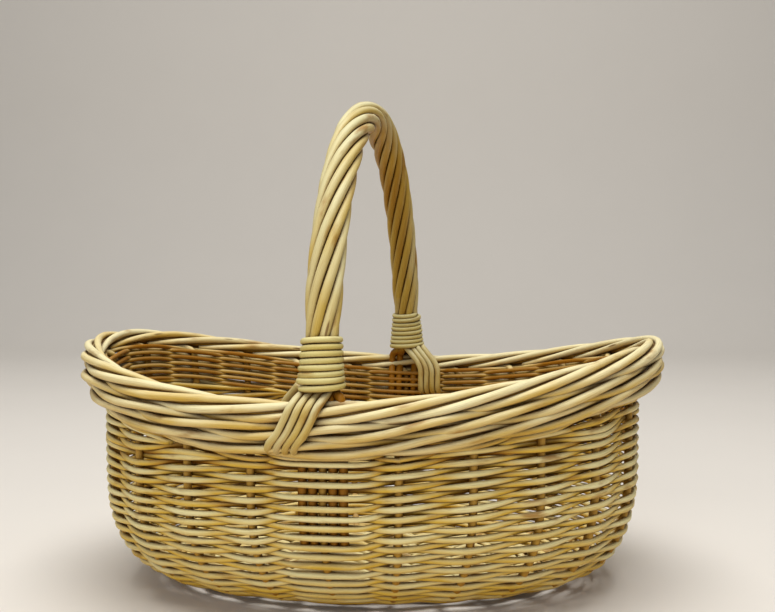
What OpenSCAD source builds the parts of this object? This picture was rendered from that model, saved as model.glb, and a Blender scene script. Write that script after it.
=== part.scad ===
// Oval willow egg basket with a boat-shaped border and a fixed roped handle across its middle.
// Millimetres, +Z up, long axis on X. The origin is under the middle of the base.

/* [Overall] */
// Length over the border
length = 430; // [358:2:516]
// Width over the border
width = 310; // [258:2:372]
// Height of the border's top at the middle of the long sides
side_h = 153; // [128:1:184]
// Extra height of the border at the two ends
end_rise = 30; // [22:1:38]
// How far the border's high places are turned, the right one to the front and the left one to the back
rim_turn = 10; // [0:1:12]
// Height of the handle's top
handle_h = 355; // [296:1:426]

/* [Wall] */
// Stakes round the wall, two at the tips and the rest in mirrored fours
stakes = 22; // [18:4:26]
// Diameter of a stake
stake_d = 5.4; // [4.5:0.1:6.5]
// Diameter of a siding weaver in the close rows at the top
weaver_d = 3.2; // [2.8:0.1:3.3]
// Diameter of a siding weaver in the lowest row
low_weaver_d = 4.1; // [3.4:0.1:4.2]
// Step between the close rows at the top of the wall
row_step = 3.5; // [3.4:0.05:4.5]
// Mean step between the open rows lower down
low_step = 3.9; // [3.8:0.1:5.2]
// Close rows above the packing
top_rows = 8; // [6:1:10]
// How far the wall draws in to the base at the two ends
end_round = 63; // [52:1:76]
// How far the wall draws in to the base at the two sides
side_round = 62; // [51:1:74]
// Height of the rounded part of the wall
bilge_h = 84; // [70:1:92]

/* [Border] */
// Diameter of a border rod, which is the bent-over top of a stake
border_d = 5.8; // [5:0.1:6.4]
// Radius of the ring of rods in the rolled border
roll_r = 5.5; // [5.4:0.1:6.5]
// How far the middle of the roll stands outside the line of the stakes
roll_out = 13; // [11:0.5:16]
// Stake spaces that one border rod runs past
roll_spaces = 3.8; // [3.4:0.1:3.9]
// Diameter of a rod of the waling
wale_d = 4.6; // [4:0.1:5]

/* [Base] */
// Diameter of a cross stick of the base
cross_d = 8; // [7:0.5:10]
// Diameter of a long stick, which goes through the cross sticks
long_d = 4.6; // [4:0.1:5.5]
// Diameter of a base weaver
base_weaver_d = 4.2; // [3.4:0.1:5]
// Step between the rows of the base
base_step = 6; // [5.2:0.1:7]

/* [Handle] */
// Diameter of the bow inside the handle
bow_d = 11; // [9:0.2:13.2]
// Diameter of a handle rod
rope_d = 6.2; // [5:0.1:6.4]
// Turns of the rods round the bow, a whole number and a half
rope_turns = 2.5; // [1.5:1:3.5]
// How deep the handle rods are pushed down the wall
liner_depth = 95; // [70:1:110]
// Diameter of a lashing rod
lash_d = 3.8; // [3:0.1:4.4]
// Turns of each lashing
lash_turns = 8; // [5:1:10]
// Gap between the turns of a lashing
lash_gap = 0.55; // [0.45:0.05:1]

/* [Hidden] */
// Clearance between pieces that touch
fit = 0.2;
rod_sides = 5;
base_sides = 4;
lash_sides = 6;
lash_rings = 12;
rope_rods = 4;
courses = 8;
willow = [0.86, 0.76, 0.5];
shaded_willow = [0.72, 0.58, 0.34];
stick_willow = [0.63, 0.49, 0.29];

// The line of the stakes, inside the border's reach
border_reach = roll_out + roll_r + border_d / 2;
a_wall = length / 2 - border_reach;
b_wall = width / 2 - border_reach;
// Base rods are sunk by one clearance and cut off at the floor, so that they stand on flats
base_z = cross_d / 2 + fit + base_weaver_d / 2 * (1 + cos(180 / base_sides));

// Depths below the top of the border
roll_h = roll_r + border_d / 2;
entry_angle = -135;
entry_h = roll_h - roll_r * sin(entry_angle);
entry_out = roll_out + roll_r * cos(entry_angle);
wale_step = wale_d + 6 * fit;
upper_wale_h = entry_h + wale_d + wale_step / 2;
lower_wale_h = upper_wale_h + 2 * wale_step;
lean_h = lower_wale_h + wale_step + stake_d / 2;

// Places round the oval by arc length from the middle of the front, towards +X
arc_steps = 240;
function oval(t) = [a_wall * cos(t), b_wall * sin(t)];
function step_t(i) = -90 + 360 * i / arc_steps;
arc_table = [
    for (i = 0, s = 0; i <= arc_steps; s = s + norm(oval(step_t(i + 1)) - oval(step_t(i))), i = i + 1)
        [s, step_t(i)]
];
perimeter = arc_table[arc_steps][0];
space = perimeter / stakes;
function arc_t(s) = let (turn = floor(s / perimeter)) lookup(s - turn * perimeter, arc_table) + 360 * turn;
function stake_t(i) = arc_t(space * (i + 0.5));

// The handle's feet stand at the stake left of the middle, seen from outside each long side
front_foot = -1;
back_foot = front_foot + stakes / 2;
foot_arc = space * (front_foot + 0.5);
liner_step = rope_d + fit;
group_half = liner_step * rope_rods / 2 + rope_d / 2;
foot_half = (group_half + low_weaver_d / 2 + fit) / space;
function is_foot(j) = (j - front_foot) % (stakes / 2) == 0;

// The wall: v is 0 at the base's edge and 1 at the top of the rounded part, which bends in equal steps
function unit(p) = p / norm(p);
function plan_n(t) = unit([cos(t) / a_wall, sin(t) / b_wall, 0]);
function rim_top(t) = side_h + end_rise * pow(cos(t + rim_turn), 2);
bilge_steps = 5;
bilge_v = [for (i = [0:bilge_steps]) i / bilge_steps];
rise_table = [for (v = bilge_v) [v, 1 - cos(90 * v)]];
risen_table = [for (r = rise_table) [r[1], r[0]]];
draw_table = [for (v = bilge_v) [v, 1 - sin(90 * v)]];
function v_z(v) = base_z + bilge_h * (v < 1 ? lookup(v, rise_table) : 1 + PI / 2 * (v - 1));
function z_v(z) =
    let (q = (z - base_z) / bilge_h)
    q < 1 ? lookup(q, risen_table) : 1 + (q - 1) * 2 / PI;
function straight_pt(t, v) =
    let (d = lookup(v, draw_table))
    [(a_wall - end_round * d) * cos(t), (b_wall - side_round * d) * sin(t), v_z(v)];
function lean(t, z) = entry_out * max(0, (lean_h - rim_top(t) + z) / (lean_h - entry_h));
function wall_pt(t, v) = straight_pt(t, v) + lean(t, v_z(v)) * plan_n(t);
function wall_n(t, v) =
    let (up = wall_pt(t, v + 0.01) - wall_pt(t, max(v - 0.01, 0)))
    unit(cross([-a_wall * sin(t), b_wall * cos(t), 0], up));
function off_pt(t, v, out) = wall_pt(t, v) + out * wall_n(t, v);

// A rod swept along its points, with a reference direction at each point
function tangent(p, i) = unit(p[min(i + 1, len(p) - 1)] - p[max(i - 1, 0)]);
function rod_ring(c, dir, ref, r, n) =
    let (side = unit(cross(dir, ref)), up = cross(side, dir))
    [for (k = [0:n - 1]) let (a = 360 * (k + 0.5) / n) c + r * (cos(a) * up + sin(a) * side)];
function rod_skin(rings, n) = concat(
    [
        for (i = [0:rings - 2], k = [0:n - 1])
            let (a = i * n + k, b = i * n + (k + 1) % n)
            each [[a, a + n, b + n], [a, b + n, b]]
    ],
    [for (k = [1:n - 2]) [0, k, k + 1]],
    [for (k = [1:n - 2]) let (e = (rings - 1) * n) [e, e + k + 1, e + k]]
);
module rod(path, refs, d, tip_d, n = rod_sides, floor_z = 0) {
    last = len(path) - 1;
    tip = is_undef(tip_d) ? d : tip_d;
    points = [
        for (i = [0:last])
            for (p = rod_ring(path[i], tangent(path, i), refs[i], (d + (tip - d) * i / last) / 2, n))
                [p.x, p.y, max(p.z, floor_z)]
    ];
    polyhedron(points, rod_skin(last + 1, n));
}

// Siding rows. A stop is [place along the stakes, v, offset out]; a foot has two, either side of its group
function side_of(j, row) = (j + row + 2 * stakes) % 2 == 0 ? 1 : -1;
foot_bulge = pow(foot_half * space, 2) / 2 * b_wall / pow(a_wall, 2);
function clear_of(j, d) =
    fit + (is_foot(j) ? (max(stake_d, rope_d) + d) / 2 + foot_bulge : (stake_d + d) / 2);
function stops_at(j, v, out) =
    is_foot(j) ? [[j - foot_half, v, out], [j + foot_half, v, out]] : [[j, v, out]];
function row_stop(j, v, row, d) = stops_at(j, v, side_of(j, row) * clear_of(j, d));
module woven(stops, d, n = base_sides) {
    path = [for (s = stops) off_pt(stake_t(s[0]), s[1], s[2])];
    refs = [for (s = stops) wall_n(stake_t(s[0]), s[1])];
    rod(path, refs, d, n = n);
}

// Place of the upsett waling at the base's edge
upsett_v = 0.055;
bilge_arc = PI / 2 * side_round;
upsett_step = (wale_step / 2 + 2 * fit) / bilge_arc;
upsett_tail_v = upsett_v + (wale_d + fit) / bilge_arc;

// Packing pairs raise the two ends under the top rows
first_v = upsett_tail_v + ((wale_d + low_weaver_d) / 2 + 2 * fit) / bilge_arc;
siding_top_z = side_h - lean_h - weaver_d / 2;
pack_z = siding_top_z - (top_rows - 1) * row_step;
low_arc = (z_v(pack_z - row_step) - first_v) * PI / 2 * sqrt((pow(side_round, 2) + pow(bilge_h, 2)) / 2);
low_rows = ceil(low_arc / low_step);
closing = 0.12;
function low_v(k) =
    let (f = k / (low_rows - 1))
    first_v + (z_v(pack_z - row_step) - first_v) * f * (1 + closing * (1 - f));
pack_pairs = floor(end_rise / (2 * row_step));
function raised(j, q) = rim_top(stake_t(j)) - side_h >= (2 * q - 0.3) * row_step;
function pairs_at(j) = len([for (q = [1:pack_pairs]) if (raised(j, q)) q]);
function pack_top(j) = pack_z - row_step + 2 * pairs_at(j) * row_step;
function top_v(j, k) =
    let (room = rim_top(stake_t(j)) - lean_h - weaver_d / 2 - pack_top(j))
    z_v(pack_top(j) + room * (k + 1) / top_rows);
rows = low_rows + top_rows;
tied_rows = 2;
function row_v(j, k) = k < low_rows ? low_v(k) : top_v(j, k - low_rows);
function row_d(k) = low_weaver_d + (weaver_d - low_weaver_d) * min(1, k / (low_rows - 1));
function row_stops(k, from, to) =
    [for (j = [from:to]) for (s = row_stop(j, row_v(j, k), k, row_d(k))) s];
// A whole row starts and ends behind the same stake; the cut ends stand either side of its middle
module whole_row(k) {
    start = 2 * ceil(1.5 * k) + (k + 1) % 2;
    end_gap = 0.05;
    home = start % stakes + (is_foot(start) ? 2 : 0);
    mid = row_stops(k, home + 1, home + stakes - 1);
    ends = row_stops(k, home, home)[0];
    woven(concat([ends + [end_gap, 0, 0]], mid, [ends + [stakes - end_gap, 0, 0]]), row_d(k));
}
// The last rows stop either side of the ties
module tied_row(k) {
    for (foot = [front_foot, back_foot]) {
        stops = row_stops(k, foot, foot + stakes / 2 - 1);
        start = stops[0] + [foot_half / 2, 0, 0];
        woven([for (i = [0:len(stops) - 1]) i == 0 ? start : stops[i]], row_d(k));
    }
}
module siding_course(c) {
    for (k = [floor(c * rows / courses):floor((c + 1) * rows / courses) - 1]) {
        if (k < rows - tied_rows) whole_row(k);
        else tied_row(k);
    }
}

// One packing rod goes round the end, turns about the last stake and comes back a row higher
module packing(tip) {
    for (q = [1:pack_pairs]) {
        reach = [for (j = [tip - stakes / 4:tip + stakes / 4]) if (raised(round(j), q)) round(j)];
        if (len(reach) > 2) packing_rod(reach[0], reach[len(reach) - 1], q);
    }
}
module packing_rod(from, to, q) {
    turn = 0.2;
    pass = low_rows + 2 * (q - 1);
    v1 = z_v(pack_z - row_step + (2 * q - 1) * row_step);
    v2 = z_v(pack_z - row_step + 2 * q * row_step);
    out = [for (j = [from:to]) for (s = row_stop(j, v1, pass, weaver_d)) s];
    back = [for (j = [to:-1:from]) for (s = row_stop(j, v2, pass + 1, weaver_d)) s];
    woven(concat(out, [[to + turn, (v1 + v2) / 2, 0]], back), weaver_d);
}

// Three-rod waling: each rod goes before two stakes, rising, and behind the third.
// Its tail ends clear of the next rod's start
function wale_h(t, h) = z_v(rim_top(t) - h);
function is_tip(j) = abs(cos(stake_t(j))) > 0.55;
function wale_stop(j, phase, low, mid, high, foot_lean) =
    let (out = clear_of(j, wale_d), behind = -out - (is_foot(j) ? foot_lean : 0))
    phase == 0 ? concat(stops_at(j, mid, behind), [[j + 0.5, low, 0]]) :
    phase == 1 ? concat(stops_at(j, low, out), is_tip(j + 0.5) ? [[j + 0.5, mid, out]] : []) :
    concat(stops_at(j, high, out), [[j + 0.5, high, 0]]);
module wale(low, mid, high, tail, on_rim, foot_lean = 0) {
    for (k = [0:2]) {
        end = k + stakes - 1 - (stakes - 1) % 3;
        stops = [
            for (j = [k:end])
                for (s = wale_stop(j, (j - k) % 3, low, j == end ? tail : mid, high, foot_lean))
                    let (t = stake_t(s[0])) [s[0], on_rim ? wale_h(t, s[1]) : s[1], s[2]]
        ];
        trimmed = [for (i = [0:len(stops) - 2]) stops[i]];
        woven(trimmed, wale_d, on_rim ? rod_sides : base_sides);
    }
}
module rim_wale(h) {
    wale(h + wale_step / 2, h, h - wale_step / 2, h + wale_step, true, lean(-90, side_h - h));
}
module upsett_wale() {
    color(willow) wale(upsett_v - upsett_step, upsett_v, upsett_v + upsett_step, upsett_tail_v, false);
}
module top_wale_lower() {
    color(willow) rim_wale(lower_wale_h);
}
module top_wale_upper() {
    color(willow) rim_wale(upper_wale_h);
}

// A stake goes up the wall, leans out and is laid down along the border
function roll_pt(j, angle) =
    let (t = stake_t(j))
    [each oval(t), rim_top(t) - roll_h] + (roll_out + roll_r * cos(angle)) * plan_n(t)
        + [0, 0, roll_r * sin(angle)];
roll_turn = 75;
roll_rings = 5;
tip_share = 0.85;
module stake(j) {
    t = stake_t(j);
    top = rim_top(t);
    up = [for (v = bilge_v) wall_pt(t, v)];
    lean_zs = [top - lean_h, (top - lean_h + top - entry_h) / 2];
    leaning = [for (z = lean_zs) if (z > v_z(1) + stake_d) wall_pt(t, z_v(z))];
    laid = [
        for (i = [0:roll_rings])
            let (f = roll_spaces * i / roll_rings) roll_pt(j + f, entry_angle + roll_turn * f)
    ];
    path = concat(up, leaning, laid);
    along = [-a_wall * sin(t), b_wall * cos(t), 0];
    laid_ref = [0, 0, 1] + plan_n(stake_t(j + 1));
    refs = [for (i = [0:len(path) - 1]) i < len(up) + len(leaning) ? along : laid_ref];
    rod(path, refs, stake_d, stake_d * tip_share);
}
module stakes_between(first, last) {
    color(shaded_willow) for (j = [first:last]) stake(j);
}

// Base: long sticks through bored cross sticks, woven round from the edge to the middle
a_base = a_wall - end_round;
b_base = b_wall - side_round;
quarter = (stakes - 2) / 4;
function cross_x(i) = a_base * cos(stake_t(i));
function long_y(i) = b_base * sin(stake_t(quarter + 1)) * i;
function edge_y(x) = b_base * sqrt(1 - pow(x / a_base, 2));
function edge_x(y) = a_base * sqrt(1 - pow(y / b_base, 2));
cross_places = [for (i = [0:quarter - 2]) each [cross_x(i), -cross_x(i)]];
long_places = [for (i = [-1:1]) long_y(i)];
stick_short = stake_d / 2 + fit;
module base_cross_sticks() {
    color(stick_willow) for (x = cross_places) {
        half = edge_y(x) - stick_short;
        difference() {
            translate([x, half, base_z]) rotate([90, 0, 0]) cylinder(d = cross_d, h = 2 * half, $fn = 32);
            for (y = long_places) {
                translate([x - cross_d, y, base_z]) rotate([0, 90, 0])
                    cylinder(d = long_d + fit, h = 2 * cross_d, $fn = 32);
            }
        }
    }
}
module base_long_sticks() {
    color(stick_willow) for (y = long_places) {
        half = edge_x(y) - stick_short;
        translate([-half, y, base_z]) rotate([0, 90, 0]) cylinder(d = long_d, h = 2 * half, $fn = 32);
    }
}
// The edge row goes round the stick ends, over one and under the next. Close neighbours count as one
flat_half = 2.2;
edge_inset = stake_d / 2 + wale_d;
a_edge = a_base - edge_inset;
b_edge = b_base - edge_inset;
function sorted(l) = len(l) < 2 ? l : let (p = l[0])
    concat(sorted([for (e = l) if (e[0] < p[0]) e]), [p], sorted([for (e = l) if (e[0] > p[0]) e]));
crossings = sorted(concat(
    [for (x = cross_places) let (t = acos(x / a_edge)) each [[t, cross_d], [360 - t, cross_d]]],
    [for (y = long_places) let (t = asin(y / b_edge)) each [[(t + 360) % 360, long_d], [180 - t, long_d]]]
));
function edge_pt(t, z) = [a_edge * cos(t), b_edge * sin(t), z];
function is_near(i) = norm(edge_pt(crossings[i][0], 0) - edge_pt(crossings[i - 1][0], 0)) < 2 * cross_d;
function group_of(i) = i == 0 ? 0 : group_of(i - 1) + (is_near(i) ? 0 : 1);
function base_side(i) = i % 2 == 0 ? -1 : 1;
function over_z(d, side) = base_z + side * ((d + base_weaver_d) / 2 + 2 * fit);
module base_weave_edge() {
    path = [
        for (i = [0:len(crossings) - 1])
            let (
                t = crossings[i][0],
                side = base_side(group_of(i)),
                flat_t = side < 0 ? flat_half / norm([a_edge * sin(t), b_edge * cos(t)]) * 180 / PI : 0
            )
            for (e = side < 0 ? [t - flat_t, t + flat_t] : [t]) edge_pt(e, over_z(crossings[i][1], side))
    ];
    closing_end = path[0] + unit(path[len(path) - 1] - path[0]) * base_weaver_d;
    ends = concat(path, [closing_end]);
    color(willow) rod(ends, [for (p = ends) [0, 0, 1]], base_weaver_d, n = base_sides);
}
// Filling rods lie along the long sticks, over one cross stick and under the next
a_fill = a_edge - base_step;
b_fill = b_edge - base_step;
fill_clear = (long_d + base_weaver_d) / 2 + fit;
fill_past = cross_d;
function spread(low, high) =
    let (n = floor((high - low) / base_step))
    [for (i = [0:n]) n == 0 ? (low + high) / 2 : low + (high - low) * i / n];
fill_half = concat(
    spread(long_y(0) + fill_clear, long_y(1) - fill_clear),
    spread(long_y(1) + fill_clear, b_fill)
);
fill_places = concat([for (i = [len(fill_half) - 1:-1:0]) -fill_half[i]], fill_half);
function reach_x(y) = a_fill * sqrt(max(0, 1 - pow(y / (b_fill + base_step), 2))) - cross_d / 2;
function spanned(y) = sorted([for (x = cross_places) if (abs(x) < reach_x(y)) [x]]);
module filling_rod(i) {
    y = fill_places[i];
    xs = spanned(y);
    last = len(xs) - 1;
    side = [for (k = [0:last]) base_side(i + k)];
    path = concat(
        [[xs[0][0] - fill_past, y, over_z(cross_d, side[0])]],
        [for (k = [0:last]) [xs[k][0], y, over_z(cross_d, side[k])]],
        [[xs[last][0] + fill_past, y, over_z(cross_d, side[last])]]
    );
    rod(path, [for (p = path) [0, 0, 1]], base_weaver_d, n = base_sides);
}
module base_weave_filling() {
    color(willow) for (i = [0:len(fill_places) - 1]) if (len(spanned(fill_places[i])) > 1) filling_rod(i);
}

// Handle: an elliptical bow over the skewed feet
foot_in = 5;
foot_pt = let (t = arc_t(foot_arc)) [each oval(t), 0] + foot_in * plan_n(t);
arch_a = norm(foot_pt);
arch_dir = foot_pt / arch_a;
arch_side = [-arch_dir.y, arch_dir.x, 0];
rope_rings = 21;
rope_r = ((bow_d + rope_d) / 2 + fit) / cos(180 * rope_turns / rope_rings);
arch_z = side_h + fit;
arch_b = handle_h - arch_z - rope_r - rope_d / 2;
function arch_pt(u) = arch_dir * arch_a * cos(u) + [0, 0, arch_z + arch_b * sin(u)];
function arch_n(u) = unit(arch_dir * arch_b * cos(u) + [0, 0, arch_a * sin(u)]);
function round_bow(u, r, a) = arch_pt(u) + r * (cos(a) * arch_side + sin(a) * arch_n(u));
bow_rings = 17;
bow_sides = 8;
bow_end_u = 2.5;
module handle_bow() {
    us = [for (i = [0:bow_rings - 1]) bow_end_u + (180 - 2 * bow_end_u) * i / (bow_rings - 1)];
    color(stick_willow) rod([for (u = us) arch_pt(u)], [for (u = us) arch_n(u)], bow_d, n = bow_sides);
}

// A handle rod starts as a liner down the wall, winds over the bow and ends as a tie round the far border
first_rope_angle = -157.5;
rope_spread = 45;
rope_start_h = 6.8;
rope_start_u = asin(rope_start_h / arch_b);
function foot_side_pt(along, out, h) =
    let (t = arc_t(foot_arc + along)) [each oval(t), rim_top(t) - h] + out * plan_n(t);
function liner_place(m) = ((m < rope_rods / 2 ? m : m + 1) - rope_rods / 2) * liner_step;
tie_clear = (border_d + rope_d) / 2 + fit;
tie_shift = (group_half + space - stake_d / 2) / 2;
// Stops of the tie as [share of the sideways shift, out, depth below the border's top]
function tie_round(angle) =
    [roll_out + (roll_r + tie_clear) * cos(angle), roll_h - (roll_r + tie_clear) * sin(angle)];
under_h = lean_h + rope_d / 2 + fit;
in_face = -(clear_of(front_foot, wale_d) + (wale_d + rope_d) / 2 + 5 * fit);
wale_foot_h = lower_wale_h + wale_step + 2 * fit;
out_face = clear_of(front_foot, wale_d) + lean(-90, side_h - lower_wale_h) + (wale_d + rope_d) / 2 + fit;
tie_step = rope_d + 3 * fit;
tie_stops = [
    [0.2, each tie_round(85)],
    [0.45, each tie_round(30)],
    [0.62, each tie_round(-30)],
    [0.85, out_face, lower_wale_h],
    [0.95, out_face, wale_foot_h],
    [1, stake_d / 2 + rope_d / 2, under_h],
    [1, in_face + rope_d / 2, under_h],
    [1, in_face, under_h - rope_d],
    [0.9, in_face, roll_h]
];
function tie_pt(m, stop) =
    foot_side_pt(tie_step * (m - (rope_rods - 1) / 2) - tie_shift * stop[0], stop[1], stop[2]);
function half_turned(p) = [-p.x, -p.y, p.z];
module handle_rod(m) {
    angle = first_rope_angle + rope_spread * m;
    place = liner_place(m);
    wall_t = arc_t(foot_arc + place);
    foot_z = side_h - liner_depth;
    bends = [for (v = bilge_v) if (v_z(v) > foot_z + rope_d) v_z(v)];
    liner_zs = concat([foot_z], bends, [side_h - roll_h]);
    liner = [for (z = liner_zs) straight_pt(wall_t, z_v(z))];
    us = [for (i = [0:rope_rings]) rope_start_u + (180 - 2 * rope_start_u) * i / rope_rings];
    turned = [for (i = [0:rope_rings]) angle - 360 * rope_turns * i / rope_rings];
    rope = [for (i = [0:rope_rings]) round_bow(us[i], rope_r, turned[i])];
    tie = [for (s = tie_stops) half_turned(tie_pt(m, s))];
    refs = concat(
        [for (p = liner) plan_n(wall_t)],
        [for (i = [0:rope_rings]) cos(turned[i]) * arch_side + sin(turned[i]) * arch_n(us[i])],
        [for (p = tie) arch_side]
    );
    rod(concat(liner, rope, tie), refs, rope_d);
}
module front_rod(m) {
    color(willow) handle_rod(m);
}
module back_rod(m) {
    color(willow) rotate([0, 0, 180]) handle_rod(m);
}

// A lashing is one rod wound round the handle above the border
lash_r = (rope_r + (rope_d + lash_d) / 2 + fit) / cos(180 / lash_rings);
lash_pitch = lash_d + lash_gap;
lash_start_h = rope_start_h + lash_d / 2 + fit;
function lash_u(rise) = asin(rise / arch_b);
lash_path = [
    for (i = [0:lash_turns * lash_rings])
        round_bow(lash_u(lash_start_h + lash_pitch * i / lash_rings), lash_r, 180 - 360 * i / lash_rings)
];
lash_last = len(lash_path) - 1;
lash_ends = concat(
    [lash_path[0] + lash_d * unit(lash_path[0] - lash_path[1])],
    lash_path,
    [lash_path[lash_last] + lash_d * unit(lash_path[lash_last] - lash_path[lash_last - 1])]
);
least_gap = min([
    for (i = [0:lash_last]) for (j = [i + lash_rings / 2:lash_last]) norm(lash_path[i] - lash_path[j])
]) - lash_d;
echo(least_gap_of_lashing = least_gap);
module lashing() {
    color(willow) rod(lash_ends, [for (p = lash_ends) [0, 0, 1]], lash_d, n = lash_sides);
}

courses_named = [for (c = [1:courses]) str("siding_course_", c)];
rods_named = [for (m = [1:rope_rods]) each [str("handle_rod_front_", m), str("handle_rod_back_", m)]];
right_tip = (stakes - 2) / 4;
left_tip = right_tip + stakes / 2;

base_long_sticks();
base_cross_sticks();
base_weave_edge();
base_weave_filling();
upsett_wale();
stakes_between(2 - right_tip, right_tip - 3);  // stakes_front
stakes_between(right_tip - 2, right_tip + 2);  // stakes_right
stakes_between(right_tip + 3, left_tip - 3);  // stakes_back
stakes_between(left_tip - 2, left_tip + 2);  // stakes_left
color(willow) packing(right_tip);  // packing_right
color(willow) packing(left_tip);  // packing_left
top_wale_lower();
top_wale_upper();
handle_bow();
lashing();  // lashing_front
rotate([0, 0, 180]) lashing();  // lashing_back
for (c = [0:courses - 1]) {
    color(willow) siding_course(c);
}
for (m = [0:rope_rods - 1]) {
    front_rod(m);
    back_rod(m);
}
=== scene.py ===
"""Oval willow egg basket: its looks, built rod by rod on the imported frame."""

import logging
import math
from dataclasses import dataclass, replace
from enum import Enum
from functools import cached_property, lru_cache

import bpy
import numpy as np
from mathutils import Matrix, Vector


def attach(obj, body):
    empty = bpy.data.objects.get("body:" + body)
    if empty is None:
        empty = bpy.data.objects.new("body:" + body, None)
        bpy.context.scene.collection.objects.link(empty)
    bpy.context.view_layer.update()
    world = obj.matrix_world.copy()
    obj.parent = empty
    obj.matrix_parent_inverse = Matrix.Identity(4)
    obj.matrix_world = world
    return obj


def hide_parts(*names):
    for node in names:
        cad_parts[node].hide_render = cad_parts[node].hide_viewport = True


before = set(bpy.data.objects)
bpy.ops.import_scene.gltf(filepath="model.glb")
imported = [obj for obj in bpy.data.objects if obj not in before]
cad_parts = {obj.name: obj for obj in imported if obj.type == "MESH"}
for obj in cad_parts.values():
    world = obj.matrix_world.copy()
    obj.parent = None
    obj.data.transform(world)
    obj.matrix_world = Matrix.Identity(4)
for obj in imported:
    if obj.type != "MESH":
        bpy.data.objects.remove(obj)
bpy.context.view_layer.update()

LOG = logging.getLogger("basket")
BODY = "root"
SEED = 1807
RNG = np.random.default_rng(SEED)

QUARTER = math.pi / 2
FULL_TURN = 2 * math.pi
UPWARD = (0.0, 0.0, 1.0)
SIDEWAYS = (1.0, 0.0, 0.0)

Array = np.ndarray
Colour = tuple[float, float, float]
Span = tuple[float, float]
Stop = tuple[float, float, float]
Socket = bpy.types.NodeSocket


class End(Enum):
    """How the end of a rod is finished, as the slope of its cut."""

    CUT = 0.55
    SQUARE = 0.0


class Foot(Enum):
    """Side of the basket where a handle rod starts, as a turn about the upright axis."""

    FRONT = 1.0
    BACK = -1.0

    def turned(self, points: Array) -> Array:
        """Points made for the front foot, turned to this one."""
        return points * np.array([self.value, self.value, 1.0])


SQUARE_ENDS = (End.SQUARE, End.SQUARE)

# Curves

FEWEST_POINTS = 3
CURVE_FINENESS = 3
SPARE_POINTS = 8


def hermite(keys: Array, values: Array, slopes: Array, at: Array) -> Array:
    """Cubic through keyed rows of values.

    Args:
        keys: Rising key of each row.
        values: Rows of values.
        slopes: Slope of each row.
        at: Keys to read.

    Returns:
        One row for each key read.
    """
    i = np.clip(np.searchsorted(keys, at, side="right") - 1, 0, len(keys) - 2)
    span = (keys[i + 1] - keys[i])[:, None]
    f = (at[:, None] - keys[i][:, None]) / span
    g = 1.0 - f
    return (
        values[i] * (1 + 2 * f) * g * g
        + slopes[i] * f * g * g * span
        + values[i + 1] * f * f * (3 - 2 * f)
        - slopes[i + 1] * f * f * g * span
    )


def resting(keys: Array, values: Array, at: Array) -> Array:
    """Cubic that never overshoots: it is level wherever a value turns back.

    Args:
        keys: Rising key of each row.
        values: Rows of values.
        at: Keys to read.

    Returns:
        One row for each key read.
    """
    steps = np.diff(values, axis=0) / np.diff(keys)[:, None]
    product, total = steps[1:] * steps[:-1], steps[1:] + steps[:-1]
    inner = np.where(product > 0, 2 * product / np.where(total == 0, 1, total), 0.0)
    return hermite(keys, values, np.vstack([steps[:1], inner, steps[-1:]]), at)


def chord_keys(points: Array) -> Array:
    """Distance along a row of points, from its first."""
    return np.concatenate([[0.0], np.cumsum(np.linalg.norm(np.diff(points, axis=0), axis=1))])


def respaced(points: Array, step: float) -> Array:
    """The same route with points at an even step.

    Args:
        points: Points of the route.
        step: Distance between points of the result.

    Returns:
        The new points.
    """
    keys = chord_keys(points)
    at = np.linspace(0, keys[-1], max(FEWEST_POINTS, int(round(keys[-1] / step)) + 1))
    return np.stack([np.interp(at, keys, column) for column in points.T], axis=1)


def rounded(points: Array, step: float) -> Array:
    """A smooth route through a few points.

    Args:
        points: Points to pass.
        step: Distance between points of the result.

    Returns:
        Points of the route.
    """
    keys = chord_keys(points)
    at = np.linspace(0, keys[-1], int(keys[-1] / step) * CURVE_FINENESS + SPARE_POINTS)
    return respaced(hermite(keys, points, np.gradient(points, keys, axis=0), at), step)


def unit(rows: Array) -> Array:
    """Rows scaled to length one."""
    return rows / np.linalg.norm(rows, axis=-1, keepdims=True)


# The basket's shape


@dataclass(frozen=True)
class Sizes:
    """Driving sizes of the basket, in metres and counts."""

    length: float = 0.430
    width: float = 0.310
    side_h: float = 0.153
    end_rise: float = 0.030
    rim_turn: float = math.radians(10)
    handle_h: float = 0.355
    stakes: int = 22
    stake_d: float = 0.0054
    weaver_d: float = 0.0032
    low_weaver_d: float = 0.0041
    row_step: float = 0.0032
    low_rows: int = 25
    top_rows: int = 9
    end_round: float = 0.063
    side_round: float = 0.062
    bilge_h: float = 0.084
    border_d: float = 0.0058
    roll_r: float = 0.0055
    roll_out: float = 0.013
    wale_d: float = 0.0046
    cross_d: float = 0.008
    long_d: float = 0.0046
    base_weaver_d: float = 0.0042
    bow_d: float = 0.011
    rope_d: float = 0.0062
    rope_turns: float = 2.5
    rope_rods: int = 4
    liner_depth: float = 0.095
    lash_d: float = 0.0038
    lash_turns: int = 8
    lash_gap: float = 0.00015
    fit: float = 0.0002

    @property
    def right_tip(self) -> int:
        """Stake at the right end."""
        return (self.stakes - 2) // 4

    @property
    def left_tip(self) -> int:
        """Stake at the left end."""
        return self.right_tip + self.stakes // 2

    @property
    def roll_h(self) -> float:
        """Depth of the rolled border's middle below its top."""
        return self.roll_r + self.border_d / 2


@dataclass(frozen=True)
class Route:
    """A weaver's route: its points, their places counted in stakes and their offsets from the wall."""

    path: Array
    place: Array
    out: Array


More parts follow.
